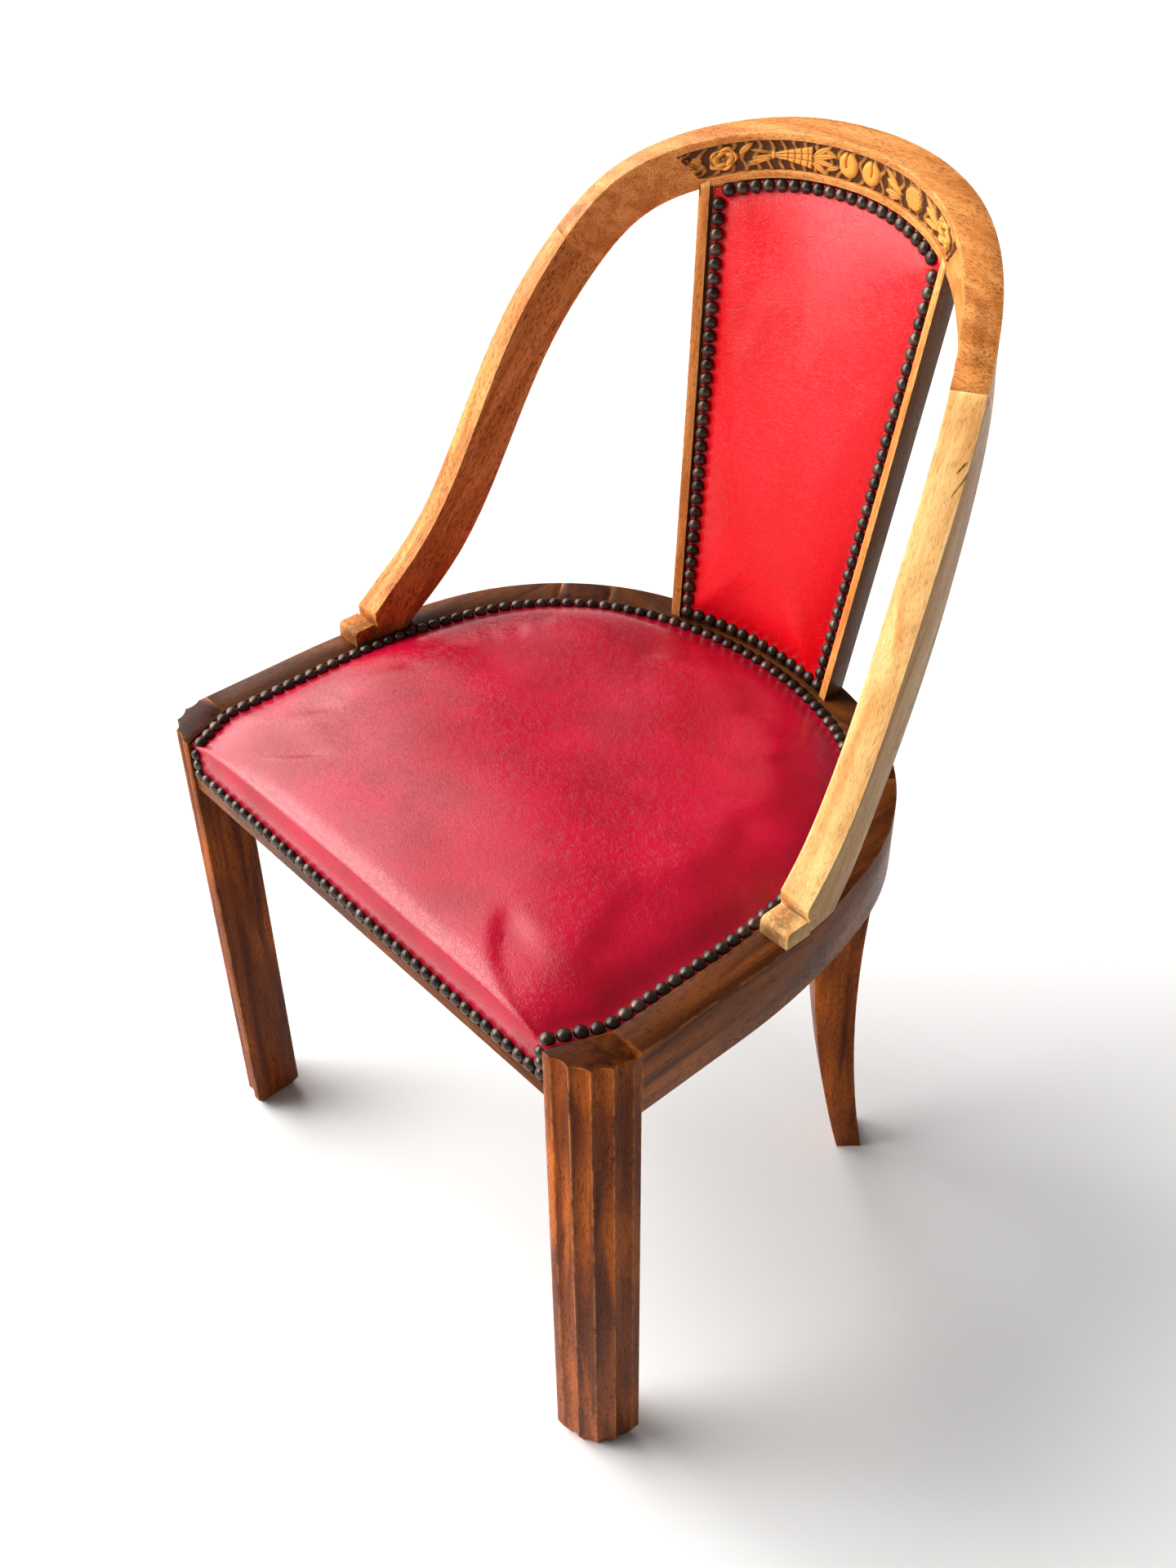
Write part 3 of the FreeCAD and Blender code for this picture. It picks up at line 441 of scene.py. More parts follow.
def hull(points):
    """Convex outline of flat points, counter-clockwise."""
    ordered = sorted({(round(x, 6), round(y, 6)) for x, y in points})

    def half(run):
        kept = []
        for x, y in run:
            while len(kept) > 1:
                (ax, ay), (bx, by) = kept[-2], kept[-1]
                if (bx - ax) * (y - ay) - (by - ay) * (x - ax) > 0:
                    break
                kept.pop()
            kept.append((x, y))
        return kept[:-1]

    return [Vector(p) for p in half(ordered) + half(ordered[::-1])]


def resample(loop, spacing):
    """Points about a spacing apart along a closed outline, its corners kept."""
    points = []
    for start, end in zip(loop, loop[1:] + loop[:1]):
        count = max(1, round((end - start).length / spacing))
        points += [start.lerp(end, i / count) for i in range(count)]
    return points


def nearest_on(loop, point):
    """Distance from a closed outline, and how far along it the nearest point is."""
    best, place, run = 9.0, 0.0, 0.0
    for start, end in zip(loop, loop[1:] + loop[:1]):
        way = end - start
        length = way.length
        share = min(1.0, max(0.0, (point - start).dot(way) / (length * length)))
        gap = (point - start - way * share).length
        if gap < best:
            best, place = gap, run + share * length
        run += length
    return best, place


def ease(value, width):
    """Rise from 0 to 1 over about a width, quickest at the start."""
    return 1.0 - math.exp(-max(0.0, value) / width)


def add_piece(name, bm, material, covers=()):
    """Turn a bmesh into a finished piece that rides on the chair."""
    mesh = bpy.data.meshes.new(name)
    bm.to_mesh(mesh)
    bm.free()
    mesh.materials.append(material)
    for face in mesh.polygons:
        face.use_smooth = True
    piece = bpy.data.objects.new(name, mesh)
    bpy.context.scene.collection.objects.link(piece)
    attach(piece, "root")
    if covers:
        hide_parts(*covers)
    return piece


ring_shares = [0.0, 0.012, 0.025, 0.04, 0.055, 0.075, 0.1]
while ring_shares[-1] < 0.96:
    ring_shares.append(ring_shares[-1] + 0.03)


def ring_sheet(loop, centre):
    """Rings of flat points from the outline towards a centre, and the faces between them."""
    bm = bmesh.new()
    rings = []
    for share in ring_shares:
        rings.append([bm.verts.new((*point.lerp(centre, share), 0.0)) for point in loop])
    middle = bm.verts.new((*centre, 0.0))
    count = len(loop)
    for outer, inner in zip(rings, rings[1:]):
        for i in range(count):
            j = (i + 1) % count
            bm.faces.new((outer[i], outer[j], inner[j], inner[i]))
    for i in range(count):
        bm.faces.new((rings[-1][i], rings[-1][(i + 1) % count], middle))
    return bm, rings


def puff(piece, pinned, pressure, limit):
    """Let cloth under pressure settle over the stuffing, then keep its shape within a limit of the start."""
    start = [vertex.co.copy() for vertex in piece.data.vertices]
    group = piece.vertex_groups.new(name="nailed")
    group.add(pinned, 1.0, "REPLACE")
    cloth = piece.modifiers.new("cloth", "CLOTH")
    cloth.settings.quality = 6
    cloth.settings.mass = 0.25
    cloth.settings.tension_stiffness = 30
    cloth.settings.compression_stiffness = 30
    cloth.settings.shear_stiffness = 12
    cloth.settings.bending_stiffness = 6
    cloth.settings.vertex_group_mass = "nailed"
    cloth.settings.use_pressure = True
    cloth.settings.uniform_pressure_force = pressure
    cloth.settings.effector_weights.gravity = 0.0
    cloth.point_cache.frame_start = 1
    cloth.point_cache.frame_end = 20
    scene = bpy.context.scene
    for number in range(1, 21):
        scene.frame_set(number)
    settled = piece.evaluated_get(bpy.context.evaluated_depsgraph_get())
    moved = [vertex.co.copy() for vertex in settled.data.vertices]
    piece.modifiers.remove(cloth)
    scene.frame_set(1)
    longest = 0.0
    for vertex, first, last in zip(piece.data.vertices, start, moved):
        step = last - first
        longest = max(longest, step.length)
        if step.length > limit:
            step *= limit / step.length
        vertex.co = first + step
    print("cloth:", piece.name, "moved at most", round(longest * 1000, 2), "mm")


def thicken(piece, thickness):
    """Give a sheet its thickness, inwards."""
    skin = piece.modifiers.new("skin", "SOLIDIFY")
    skin.thickness = thickness
    skin.offset = -1.0


# %% [markdown]
# ## The seat
# The seat's sheet lies on a ledge under its nails, swells to a low crown, and folds over the front rail in
# a soft crease. The crown is a product of two rises: one from the nailed border, one from the front edge.
# Between two nails the sheet is slack, so small puckers fade out from the row.

# %% Seat sheet
sheet_top = 0.4386
sheet_thickness = 0.0014
row_spacing = 0.006
nail_pitch = 0.0112
nail_band = 0.0113
flap_band = 0.0115
puff_pressure = 4.0
puff_limit = 0.0014
seat_centre = Vector((0.0, -0.05))
seat_rise = 0.0215
crease_rise = 0.0100
edge_share = crease_rise / seat_rise
flap_bottom = 0.4054
front_reach = 0.0005

seat_points = world_points("seat_cover")
border = hull([(p.x, p.y) for p in seat_points if abs(p.z - sheet_top) < 0.0003])
front_y = min(point.y for point in border)
flap_half = max(abs(point.x) for point in border if point.y < front_y + front_reach)
seat_loop = resample(border, row_spacing)
open_border = [point for point in resample(border, 0.004) if point.y > front_y + front_reach]


def side_gap(point):
    """Distance from the nailed sides and back of the seat."""
    return min((point - other).length for other in open_border)


bm, rings = ring_sheet(seat_loop, seat_centre)
pinned = []
for vertex in bm.verts:
    flat = Vector((vertex.co.x, vertex.co.y))
    side = side_gap(flat)
    front = flat.y - front_y
    gap, place = nearest_on(border, flat)
    swell = ease(side - nail_band, 0.016) * 0.62 + ease(side - nail_band, 0.07) * 0.38
    lip = edge_share + (1 - edge_share) * (ease(front, 0.018) * 0.6 + ease(front, 0.06) * 0.4)
    roll = noise.noise(Vector((flat.x * 11, flat.y * 11, 3.0))) * 0.0022
    roll -= 0.0035 * math.exp(-((flat.x - 0.03) / 0.10) ** 2 - ((flat.y + 0.02) / 0.09) ** 2)
    pucker = math.cos(place / nail_pitch * math.tau) * math.exp(-max(0.0, side - nail_band) / 0.012) * 0.0004
    inside = min(1.0, max(0.0, (side - nail_band) / 0.01))
    vertex.co.z = sheet_top + seat_rise * swell * lip + (roll + pucker) * inside
bm.verts.ensure_lookup_table()
front_row = [vertex for vertex in rings[0] if vertex.co.y < front_y + front_reach]
front_row.sort(key=lambda vertex: vertex.co.x)
flap_rows = 9
rows = [front_row]
for row in range(1, flap_rows + 1):
    share = row / flap_rows
    made = []
    for vertex in front_row:
        z = vertex.co.z + (flap_bottom - vertex.co.z) * share
        end = min(1.0, max(0.0, (flap_half - abs(vertex.co.x) - 0.010) / 0.02))
        bulge = 0.0022 * math.sin(math.pi * min(1.0, share / 0.72)) * end if share < 0.72 else 0.0
        made.append(bm.verts.new((vertex.co.x, front_y - bulge, z)))
    rows.append(made)
for upper, lower in zip(rows, rows[1:]):
    for i in range(len(upper) - 1):
        bm.faces.new((upper[i], lower[i], lower[i + 1], upper[i + 1]))
bmesh.ops.recalc_face_normals(bm, faces=bm.faces)
if sum(face.normal.z for face in bm.faces) < 0:
    bmesh.ops.reverse_faces(bm, faces=bm.faces)
bm.verts.index_update()
for vertex in bm.verts:
    flat = Vector((vertex.co.x, vertex.co.y))
    nailed_flap = vertex.co.z < flap_bottom + flap_band or abs(vertex.co.x) > flap_half - flap_band
    if flat.y < front_y + front_reach and vertex.co.z < sheet_top:
        if nailed_flap:
            pinned.append(vertex.index)
    elif side_gap(flat) < nail_band:
        pinned.append(vertex.index)
seat = add_piece("seat_leatherette", bm, seat_leather, ("seat_cover", "seat_pad"))
puff(seat, pinned, puff_pressure, puff_limit)
thicken(seat, sheet_thickness)
print("seat:", len(seat.data.vertices), "vertices")

# %% [markdown]
# ## The splat
# The splat is bowed and leans back, so its sheet is laid out flat from the front and then carried onto the
# fixed frame by rays. The stuffed face swells forwards and is fullest in its lower half. The outside back is
# a plain sheet, nailed flat.

# %% Splat sheets
splat_bow = 3.6
splat_lean = 0.19
splat_trim = 0.012
stuffed_depth = 0.0137
stuffed_rise = 0.0170
outside_depth = -0.0016
outside_rise = 0.002


def splat_panel(source, bed, depth, facing, rise, band):
    """A splat panel: its outline from one node, its bow from another, its swell forwards or backwards."""
    search = tree_of(bed)
    outline = hull([(p.x, p.z) for p in world_points(source)])
    bottom, top = min(p.y for p in outline), max(p.y for p in outline)
    middle = Vector((0.0, (bottom + top) / 2))
    loop = [point.lerp(middle, splat_trim) for point in resample(outline, row_spacing)]
    bm, rings = ring_sheet(loop, middle)
    held = []
    for vertex in bm.verts:
        flat = Vector((vertex.co.x, vertex.co.y))
        gap, place = nearest_on(outline, flat)
        eye = Vector((flat.x * 0.985, -1.0, flat.y * 0.998 + 0.001))
        spot = search.ray_cast(eye, Vector((0, 1, 0)))[0]
        lean = Vector((-splat_bow * flat.x, -1.0, splat_lean)).normalized()
        swell = ease(gap - band, 0.014) * 0.5 + ease(gap - band, 0.055) * 0.5
        swell *= 1.0 - 0.6 * min(1.0, max(0.0, (flat.y - bottom) / (top - bottom) - 0.4) / 0.6) ** 1.3
        pucker = math.cos(place / nail_pitch * math.tau) * math.exp(-max(0.0, gap - band) / 0.012) * 0.0003
        inside = min(1.0, max(0.0, (gap - band) / 0.01))
        roll = noise.noise(Vector((flat.x * 16, flat.y * 16, 9.0))) * 0.0006
        base = Vector((flat.x, spot.y + depth / lean.y, flat.y))
        vertex.co = base + lean * facing * (rise * swell + (pucker + roll) * inside)
        if gap < band:
            held.append(vertex)
    bmesh.ops.recalc_face_normals(bm, faces=bm.faces)
    if sum(face.normal.y for face in bm.faces) * facing > 0:
        bmesh.ops.reverse_faces(bm, faces=bm.faces)
    bm.verts.index_update()
    return bm, [vertex.index for vertex in held]


bm, pinned = splat_panel("back_cover", "outside_back_cover", stuffed_depth, 1, stuffed_rise, nail_band)
back = add_piece("back_leatherette", bm, back_leather, ("back_cover", "back_pad"))
puff(back, pinned, puff_pressure, puff_limit)
thicken(back, sheet_thickness)
outside = "outside_back_cover"
bm, pinned = splat_panel(outside, outside, outside_depth, -1, outside_rise, nail_band)
outside_back = add_piece("outside_back_leatherette", bm, back_leather, (outside,))
thicken(outside_back, sheet_thickness)
print("splat:", len(back.data.vertices), "vertices in front")

# %% [markdown]
# ## Nails
# Every nail of the fixed frame is a small faceted head. The half of its corners that is farther from its
# middle gives its seat, and the nearer half its axis. One dome is turned as a lathe would, and stands at
# each place with a slight tilt. A number stored on each nail varies its tarnish.

# %% Nails
def make_nail_metal():
    material, tree, shader = new_material("nail_metal", Metallic=0.7, Specular_IOR_Level=0.6)
    tone = put(tree, "Attribute", attribute_name="tarnish").outputs["Fac"]
    place = put(tree, "TexCoord").outputs["Object"]
    spots = noise_at(tree, place, (420, 420, 420), 3.0, 0.6)
    share = calc(tree, "MULTIPLY_ADD", spots, 0.7, calc(tree, "MULTIPLY_ADD", tone, 0.3, -0.15))
    dull, bright = (0.034, 0.023, 0.018, 1), (0.150, 0.104, 0.078, 1)
    colour = mix_colour(tree, smooth_range(tree, share, 0.15, 0.75), dull, bright)
    tree.links.new(colour, shader.inputs["Base Color"])
    tree.links.new(calc(tree, "MULTIPLY_ADD", spots, 0.25, 0.18), shader.inputs["Roughness"])
    bump(tree, shader, spots, 0.0002, 0.4)
    return material


dome_radius = 0.00505
nail_sink = 0.0002


def make_dome():
    """A domed head as a mesh, its seat on the origin."""
    bm = bmesh.new()
    profile = [(0.0049, 0.0), (dome_radius, 0.0009), (0.0048, 0.0022)]
    profile += [(0.0039, 0.0036), (0.0022, 0.0046), (0.0, 0.0050)]
    verts = [bm.verts.new((x, 0.0, z)) for x, z in profile]
    edges = [bm.edges.new(pair) for pair in zip(verts, verts[1:])]
    bmesh.ops.spin(
        bm, geom=verts + edges, cent=(0, 0, 0), axis=(0, 0, 1), angle=math.tau, steps=12, use_merge=True
    )
    bmesh.ops.remove_doubles(bm, verts=bm.verts, dist=0.00001)
    bmesh.ops.recalc_face_normals(bm, faces=bm.faces)
    mesh = bpy.data.meshes.new("dome")
    bm.to_mesh(mesh)
    bm.free()
    return mesh


def nail_places(name):
    """Seat and axis of every faceted head in a node."""
    places = []
    for corners in islands(name):
        middle = sum(corners, Vector()) / len(corners)
        corners.sort(key=lambda point: (point - middle).length)
        half = len(corners) // 2
        top = sum(corners[:half], Vector()) / half
        base = sum(corners[half:], Vector()) / (len(corners) - half)
        places.append((base, (top - base).normalized()))
    return places


nail_metal = make_nail_metal()
dome = make_dome()
chance = random.Random(7)
for row in ("seat_nails", "front_nails", "back_nails", "outside_back_nails"):
    bm = bmesh.new()
    tones = []
    places = nail_places(row)
    for seat_point, axis in places:
        room = min((seat_point - other).length for other, way in places if other is not seat_point)
        size = min(1.1, 0.49 * room / dome_radius)
        known = len(bm.verts)
        bm.from_mesh(dome)
        bm.verts.ensure_lookup_table()
        tilt = Vector((chance.gauss(0, 0.05), chance.gauss(0, 0.05), 1.0)).normalized()
        turn = Vector((0, 0, 1)).rotation_difference(axis) @ Vector((0, 0, 1)).rotation_difference(tilt)
        seated = Matrix.Translation(seat_point - axis * nail_sink)
        place = seated @ turn.to_matrix().to_4x4() @ Matrix.Scale(size, 4)
        bmesh.ops.transform(bm, matrix=place, verts=bm.verts[known:])
        tones += [chance.random()] * len(dome.vertices)
    piece = add_piece(row + "_domed", bm, nail_metal, (row,))
    attribute = piece.data.attributes.new("tarnish", "FLOAT", "POINT")
    attribute.data.foreach_set("value", tones)
    print("nails:", row, len(tones) // len(dome.vertices))

# %% [markdown]
# ## The carved band
# Under the top of the crest runs a band of fruit and leaves: a rose with a deep eye, a tied sheaf, a hatched
# horn of plenty, a fan of leaves, two ovals, a melon and a rosette. The carving is a height over the sunk
# ground. Every motif is a small function of the place along the band and across it, in millimetres, and
# the highest one wins. The height is also kept on the vertices, which darken the hollows as painted shade.

# %% Motifs
def spun(s, t, centre, degrees):
    """A place seen from a motif's centre, in the motif's own turned axes."""
    angle = math.radians(degrees)
    u, v = s - centre[0], t - centre[1]
    return u * math.cos(angle) + v * math.sin(angle), v * math.cos(angle) - u * math.sin(angle)


def line_cut(distance, width=0.35):
    """Depth share of a fine carved line at a distance from it."""
    return math.exp(-(distance / width) ** 2)


def oval(s, t, centre, half_s, half_t, degrees, high, cleft=0.0):
    """A rounded fruit, with a curved cleft where one is given."""
    u, v = spun(s, t, centre, degrees)
    inside = 1 - (u / half_s) ** 2 - (v / half_t) ** 2
    if inside <= 0:
        return 0.0
    form = high * min(1.0, inside * 1.6) ** 0.5
    if cleft:
        form *= 1 - 0.7 * line_cut(u - cleft * (v / half_t) ** 2 + cleft * 0.5, 0.7) * (v > -0.2 * half_t)
    return form


def leaf(s, t, centre, length, width, degrees, high):
    """A pointed leaf from its stem, with a cut midrib."""
    u, v = spun(s, t, centre, degrees)
    share = u / length
    if not 0 < share < 1:
        return 0.0
    half = width * math.sin(math.pi * share ** 0.8)
    if abs(v) >= half:
        return 0.0
    return high * (1 - abs(v) / half) ** 0.45 * (1 - 0.5 * line_cut(v, 0.4))


def rose(s, t, centre, radius, petals, high):
    """A round flower with petals round a hollow eye."""
    u, v = s - centre[0], t - centre[1]
    r, angle = math.hypot(u, v), math.atan2(v, u)
    edge = radius * (0.93 + 0.07 * math.cos(petals * angle))
    if r >= edge:
        return 0.0
    swirl = 0.82 + 0.18 * math.cos(petals * angle + r * 0.6)
    eye = math.exp(-(r / (radius * 0.34)) ** 4)
    ring = 0.45 * line_cut(r - radius * 0.66 - 0.6 * math.cos(2 * angle), 0.5)
    bud = 0.35 * math.exp(-(r / (radius * 0.15)) ** 2)
    return high * min(1.0, (edge - r) / 1.4) ** 0.6 * max(0.1, swirl * (1 - 0.8 * eye - ring) + bud)


def horn(s, t, start, end, high):
    """A hatched horn that widens from its tie: two long cuts and four cross cuts."""
    share = (s - start) / (end - start)
    if not 0 < share < 1:
        return 0.0
    half = 2.6 + 7.4 * share
    if abs(t) >= half:
        return 0.0
    cuts = max(line_cut(t - half * 0.3), line_cut(t + half * 0.3))
    for bar in (0.34, 0.52, 0.70, 0.88):
        cuts = max(cuts, line_cut(s - start - (end - start) * bar - 0.25 * (1 - (t / half) ** 2) * 4))
    return high * min(1.0, (half - abs(t)) / 1.2) * (1 - 0.62 * cuts)


def melon(s, t, centre, half_s, half_t, degrees, high):
    """An oval fruit hatched both ways."""
    u, v = spun(s, t, centre, degrees)
    form = oval(s, t, centre, half_s, half_t, degrees, high)
    hatch = max(line_cut(math.sin(u * 1.25), 0.28), line_cut(math.sin(v * 1.1), 0.28))
    rim = line_cut((u / half_s) ** 2 + (v / half_t) ** 2 - 0.72, 0.09)
    return form * (1 - 0.45 * hatch) * (1 - 0.5 * rim)


leaves = [
    ((-93, 2), 15, 3.6, 42, 2.4), ((-88, -9), 24, 2.0, 16, 2.3), ((-87, -6), 24, 2.0, 8, 2.6),
    ((-84, -2), 22, 1.8, 3, 2.5), ((-86, 5), 24, 1.8, -10, 2.2), ((-126, 6), 9, 3.4, -30, 2.2),
    ((-124, -6), 9, 3.2, 25, 2.2), ((-128, 0), 10, 3.0, 0, 2.0), ((-33, 1), 20, 3.4, 34, 2.5),
    ((-33, 0), 22, 3.2, 12, 2.7), ((-33, -1), 22, 3.2, -10, 2.5), ((-34, -3), 20, 3.4, -32, 2.4),
    ((-22, 8), 14, 2.8, -24, 2.2), ((-20, -8), 14, 2.8, 20, 2.2), ((36, 11), 20, 3.4, -38, 2.4),
    ((38, 3), 20, 3.6, -22, 2.7), ((37, -7), 18, 3.4, 4, 2.5), ((40, -11), 16, 2.8, 16, 2.2),
    ((82, 10), 20, 3.4, -36, 2.5), ((82, 2), 20, 3.6, -14, 2.7), ((82, -8), 20, 3.4, 10, 2.5),
    ((116, 9), 12, 3.0, 8, 2.3), ((117, -8), 10, 3.0, -12, 2.3),
]


def carving(s, t):
    """Height of the carving in millimetres."""
    high = max(leaf(s, t, *motif) for motif in leaves)
    high = max(high, rose(s, t, (-104, 0), 11.2, 5, 3.0), rose(s, t, (108, 0), 10.8, 6, 3.0))
    high = max(high, horn(s, t, -65, -33, 2.6), oval(s, t, (-65.5, 0), 1.8, 4.0, 0, 2.8))
    high = max(high, oval(s, t, (0, 0.5), 9.4, 11.4, 8, 3.0, 3.0))
    high = max(high, oval(s, t, (22, 0), 9.2, 11.2, -8, 3.0, -3.0))
    high = max(high, melon(s, t, (68, 0), 11.0, 10.8, 0, 2.9))
    fronds = math.sin(0.62 * s + 1.4 * math.sin(0.33 * t + 0.05 * s))
    ground = 0.3 + 1.1 * max(0.0, fronds) ** 0.7 + 0.15 * math.sin(s * 3.9) * math.sin(t * 4.3)
    return max(high, ground)


# %% Carved band
crest_search = tree_of("crest_rail")


def band_column(x):
    """Lower and upper edge of the sunk ground at a place along the crest."""
    hits = []
    for i in range(320):
        z = 0.785 + i * 0.00025
        spot = crest_search.ray_cast(Vector((x, 0.0, z)), Vector((0, 1, 0)))[0]
        if spot:
            hits.append((z, spot.y))
    steps = [(hits[i + 2][1] - hits[i][1], hits[i + 1][0]) for i in range(len(hits) - 2)]
    return max(steps)[1], min(steps)[1]


def even_fit(samples):
    """Curve a + b x^2 + c x^4 through three samples (x, value)."""
    rows = Matrix([(1.0, x ** 2, x ** 4) for x, value in samples])
    return rows.inverted() @ Vector([value for x, value in samples])


low_fit = even_fit([(x, band_column(x)[0]) for x in (0.0, 0.06, 0.117)])
high_fit = even_fit([(x, band_column(x)[1]) for x in (0.0, 0.06, 0.129)])


def along(fit, x):
    return fit[0] + fit[1] * x ** 2 + fit[2] * x ** 4


def carve_band():
    bm = bmesh.new()
    reliefs = []
    count_s, count_t = 460, 44
    grid = []
    for j in range(count_t + 1):
        v = j / count_t
        row = []
        for i in range(count_s + 1):
            x = (2 * i / count_s - 1) * (0.1185 + 0.0145 * v)
            low, high = along(low_fit, x) + 0.0003, along(high_fit, x) - 0.0003
            z = low + (high - low) * v
            height = carving(x * 1000, (v - 0.5) * 25)
            spot, out = crest_search.ray_cast(Vector((x, 0.0, z)), Vector((0, 1, 0)))[:2]
            row.append(bm.verts.new(spot + out * (height * 0.001 + 0.0001)))
            reliefs.append(min(1.0, height / 3.0))
        grid.append(row)
    for lower, upper in zip(grid, grid[1:]):
        for i in range(count_s):
            bm.faces.new((lower[i], lower[i + 1], upper[i + 1], upper[i]))
    return bm, reliefs


def make_carved_wood():
    material, tree, shader = new_material("carved_wood", Specular_IOR_Level=0.15)
    relief = put(tree, "Attribute", attribute_name="relief").outputs["Fac"]
    place = put(tree, "TexCoord").outputs["Object"]
    mottle = noise_at(tree, place, (60, 220, 220), 4.0, 0.6)
    # Painted shade: the colour runs from near black in the sunk ground to pale on the raised carving.
    share = calc(tree, "MULTIPLY_ADD", mottle, 0.5, calc(tree, "SUBTRACT", relief, 0.25))
    hollow, raised = (0.095, 0.027, 0.006, 1), (0.86, 0.350, 0.060, 1)
    colour = mix_colour(tree, smooth_range(tree, share, 0.2, 0.78), hollow, raised)
    tree.links.new(colour, shader.inputs["Base Color"])
    tree.links.new(calc(tree, "MULTIPLY_ADD", mottle, 0.25, 0.28), shader.inputs["Roughness"])
    bump(tree, shader, mottle, 0.0004, 0.5)
    return material


bm, reliefs = carve_band()
frieze = add_piece("carved_frieze", bm, make_carved_wood())
attribute = frieze.data.attributes.new("relief", "FLOAT", "POINT")
attribute.data.foreach_set("value", reliefs)
print("carving:", len(reliefs), "points")

# %% [markdown]
# ## Webbing and hessian
# Under the seat the webs pass over and under each other, and the hessian lies on them. A second hessian
# sheet lies behind the stuffing of the splat. All are woven, so their material is two sets of threads across
# each other.

# %% Woven fabrics
def make_weave(name, pale, deep, threads):
    material, tree, shader = new_material(name, Roughness=0.9, Specular_IOR_Level=0.15)
    place = put(tree, "TexCoord").outputs["Object"]
    split = put(tree, "SeparateXYZ", {0: place}).outputs
    across = calc(tree, "SINE", calc(tree, "MULTIPLY", split["X"], threads))
    along = calc(tree, "SINE", calc(tree, "MULTIPLY", split["Y"], threads))
    height = calc(tree, "MULTIPLY", across, along)
    mottle = noise_at(tree, place, (40, 40, 40), 4.0, 0.6)
    share = calc(tree, "MULTIPLY_ADD", height, 0.35, mottle)
    colour = mix_colour(tree, smooth_range(tree, share, 0.2, 0.8), (*deep, 1.0), (*pale, 1.0))
    tree.links.new(colour, shader.inputs["Base Color"])
    bump(tree, shader, height, 0.0006, 0.6)
    return material


web_cloth = make_weave("web_cloth", (0.42, 0.32, 0.19), (0.20, 0.13, 0.07), 2600.0)
hessian_cloth = make_weave("hessian_cloth", (0.40, 0.29, 0.16), (0.17, 0.11, 0.05), 2200.0)


def box_of(points):
    """Low and high corner of some points."""
    low = Vector([min(point[i] for point in points) for i in range(3)])
    high = Vector([max(point[i] for point in points) for i in range(3)])
    return low, high


web_thickness = 0.0016
web_boxes = [box_of(points) for points in islands("seat_webbing")]
along_webs = [(low, high) for low, high in web_boxes if high.y - low.y > high.x - low.x]
across_webs = [(low, high) for low, high in web_boxes if high.y - low.y <= high.x - low.x]
along_webs.sort(key=lambda pair: pair[0].x)
across_webs.sort(key=lambda pair: pair[0].y)
web_level = (min(low.z for low, high in web_boxes) + max(high.z for low, high in web_boxes)) / 2


def woven_strip(bm, low, high, axis, crossings, first_up):
    """A strip along one axis that passes over and under the strips that cross it."""
    rows = 60
    rails = []
    for i in range(rows + 1):
        run = low[axis] + (high[axis] - low[axis]) * i / rows
        height = 0.0
        for number, centre in enumerate(crossings):
            side = 1 if (number + first_up) % 2 else -1
            height += side * math.exp(-((run - centre) / 0.026) ** 4)
        z = web_level + 0.0009 * max(-1.0, min(1.0, height))
        ends = []
        for side in (low[1 - axis], high[1 - axis]):
            spot = [0.0, 0.0, z]
            spot[axis] = run
            spot[1 - axis] = side
            ends.append(bm.verts.new(spot))
        rails.append(ends)
    for (a, b), (c, d) in zip(rails, rails[1:]):
        bm.faces.new((a, b, d, c))


bm = bmesh.new()
for number, (low, high) in enumerate(along_webs):
    woven_strip(bm, low, high, 1, [(a.y + b.y) / 2 for a, b in across_webs], number)
for number, (low, high) in enumerate(across_webs):
    woven_strip(bm, low, high, 0, [(a.x + b.x) / 2 for a, b in along_webs], number + 1)
bmesh.ops.recalc_face_normals(bm, faces=bm.faces)
webbing = add_piece("woven_webbing", bm, web_cloth, ("seat_webbing",))
skin = webbing.modifiers.new("skin", "SOLIDIFY")
skin.thickness = web_thickness
skin.offset = 0.0

hessian_spacing = 0.012
hessian_thickness = 0.0008
hessian_low, hessian_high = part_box("seat_hessian")
outline = hull([(p.x, p.y) for p in world_points("seat_hessian")])
bm, rings = ring_sheet(resample(outline, hessian_spacing), seat_centre)
for vertex in bm.verts:
    gap, place = nearest_on(outline, Vector((vertex.co.x, vertex.co.y)))
    wave = noise.noise(Vector((vertex.co.x * 22, vertex.co.y * 22, 1.0))) * 0.0006
    vertex.co.z = hessian_high[2] - 0.0003 + wave * min(1.0, gap / 0.02)
bmesh.ops.recalc_face_normals(bm, faces=bm.faces)
hessian = add_piece("hessian_sheet", bm, hessian_cloth, ("seat_hessian",))
skin = hessian.modifiers.new("skin", "SOLIDIFY")
skin.thickness = hessian_thickness
skin.offset = 0.0
bm, pinned = splat_panel("back_hessian", "back_hessian", 0.0, 1, 0.0, nail_band)
back_sheet = add_piece("back_hessian_sheet", bm, hessian_cloth, ("back_hessian",))
thicken(back_sheet, hessian_thickness)
print("fabrics:", len(web_boxes), "webs and two hessian sheets")

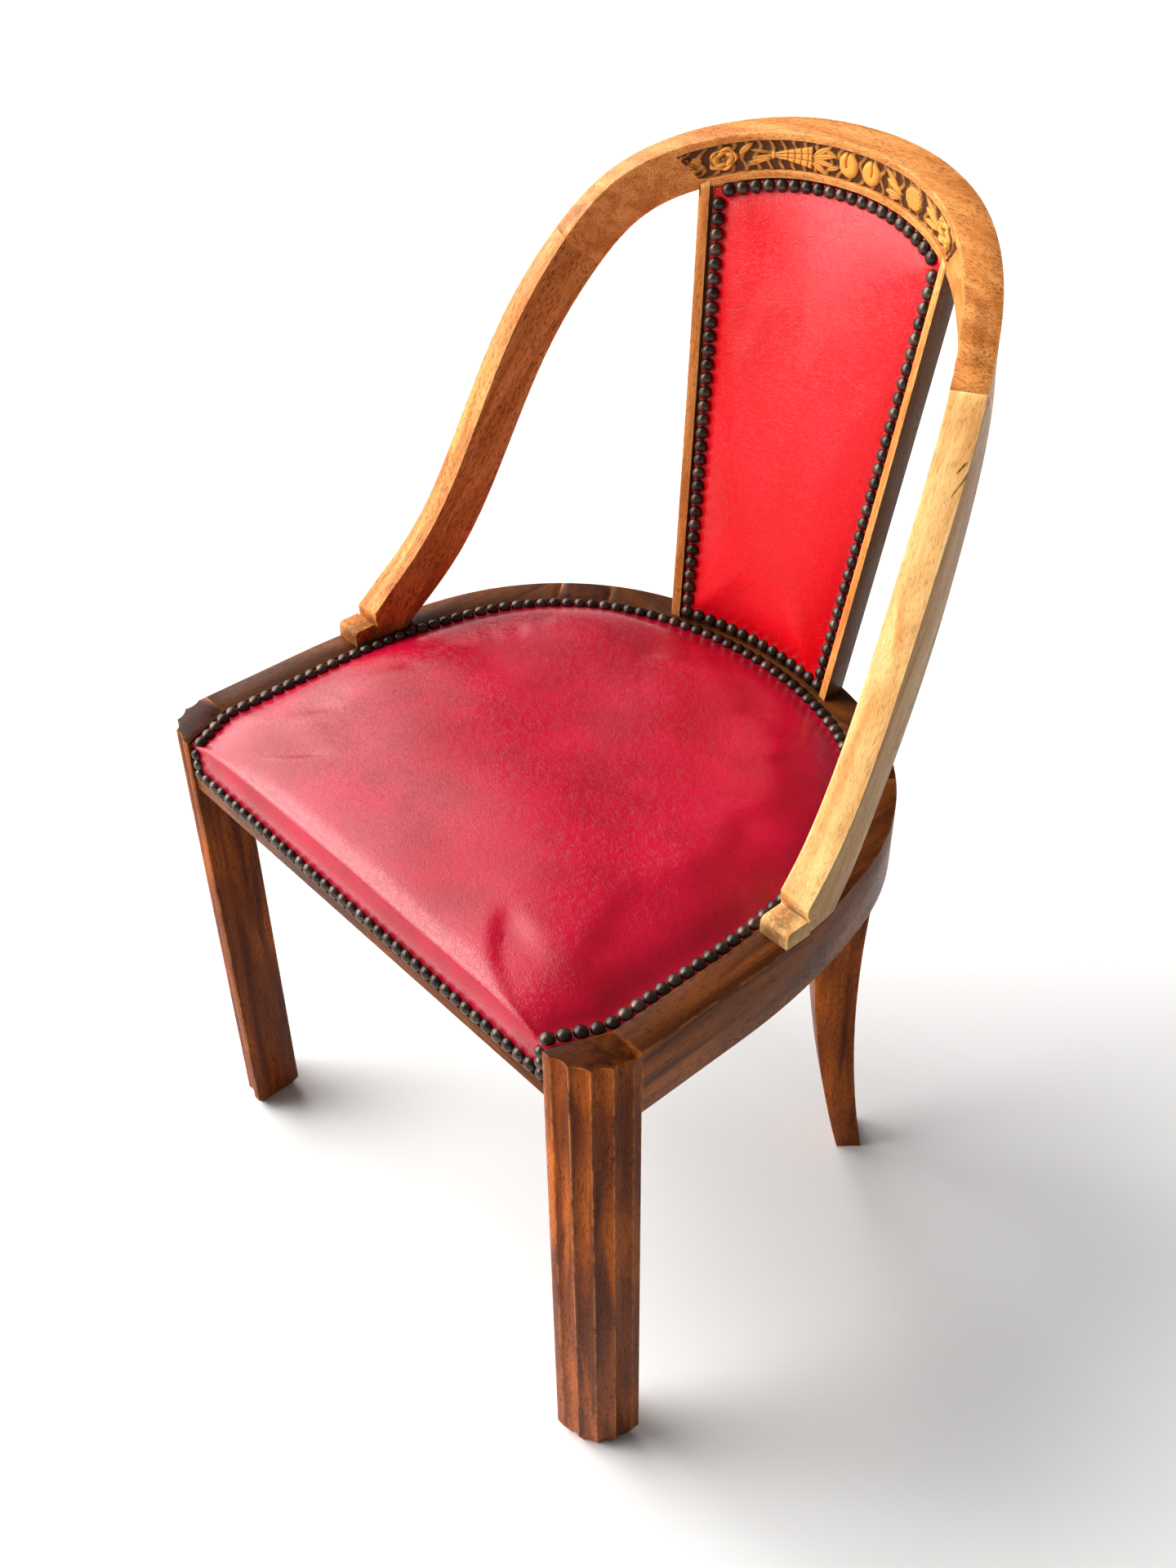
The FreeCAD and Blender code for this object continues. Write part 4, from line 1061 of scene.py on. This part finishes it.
# %% [markdown]
# ## Light and floor
# The picture has a white ground with one broad soft shadow to the right. A sun with a wide disc gives the
# same light all over the floor, so the ground stays white, and it keeps the shadow soft. The sky is brighter
# in two places: on the left, which the seat mirrors as a broad pink sheen, and low in front, which the upper
# part of the splat mirrors.

# %% Light and floor
floor_mesh = bpy.data.meshes.new("floor")
bm = bmesh.new()
bmesh.ops.create_grid(bm, x_segments=1, y_segments=1, size=30.0)
bm.to_mesh(floor_mesh)
bm.free()
floor = bpy.data.objects.new("floor", floor_mesh)
bpy.context.scene.collection.objects.link(floor)
floor_paint, tree, shader = new_material("floor_paint", Base_Color=(0.9, 0.9, 0.9, 1), Roughness=1.0)
shader.inputs["Specular IOR Level"].default_value = 0.0
floor_mesh.materials.append(floor_paint)

sun_data = bpy.data.lights.new("sun", "SUN")
sun_data.energy = 1.95
sun_data.angle = math.radians(40)
sun_data.color = (1.0, 0.98, 0.95)
sun = bpy.data.objects.new("sun", sun_data)
sun_way = Vector((0.72, 0.45, -0.85)).normalized()
sun.rotation_euler = sun_way.to_track_quat("-Z", "Y").to_euler()
bpy.context.scene.collection.objects.link(sun)

world = bpy.data.worlds.new("sky")
bpy.context.scene.world = world
world.use_nodes = True
sky = world.node_tree
way = put(sky, "TexCoord").outputs["Generated"]
strength = 0.14
bright_sides = [((-0.85, -0.10, 0.50), 0.76, 0.90, 3.7), ((-0.62, -0.77, 0.34), 0.92, 0.985, 7.4)]
for toward, dim, full, power in bright_sides:
    near = put(sky, "VectorMath", {0: way, 1: Vector(toward).normalized()}, operation="DOT_PRODUCT")
    share = smooth_range(sky, near.outputs["Value"], dim, full)
    strength = calc(sky, "MULTIPLY_ADD", share, power, strength)
seen = put(sky, "LightPath").outputs["Is Camera Ray"]
strength = calc(sky, "MAXIMUM", strength, seen)
sky.links.new(strength, sky.nodes["Background"].inputs["Strength"])
sky.nodes["Background"].inputs["Color"].default_value = (1.0, 1.0, 1.0, 1.0)
print("light: a wide sun and a pale sky")
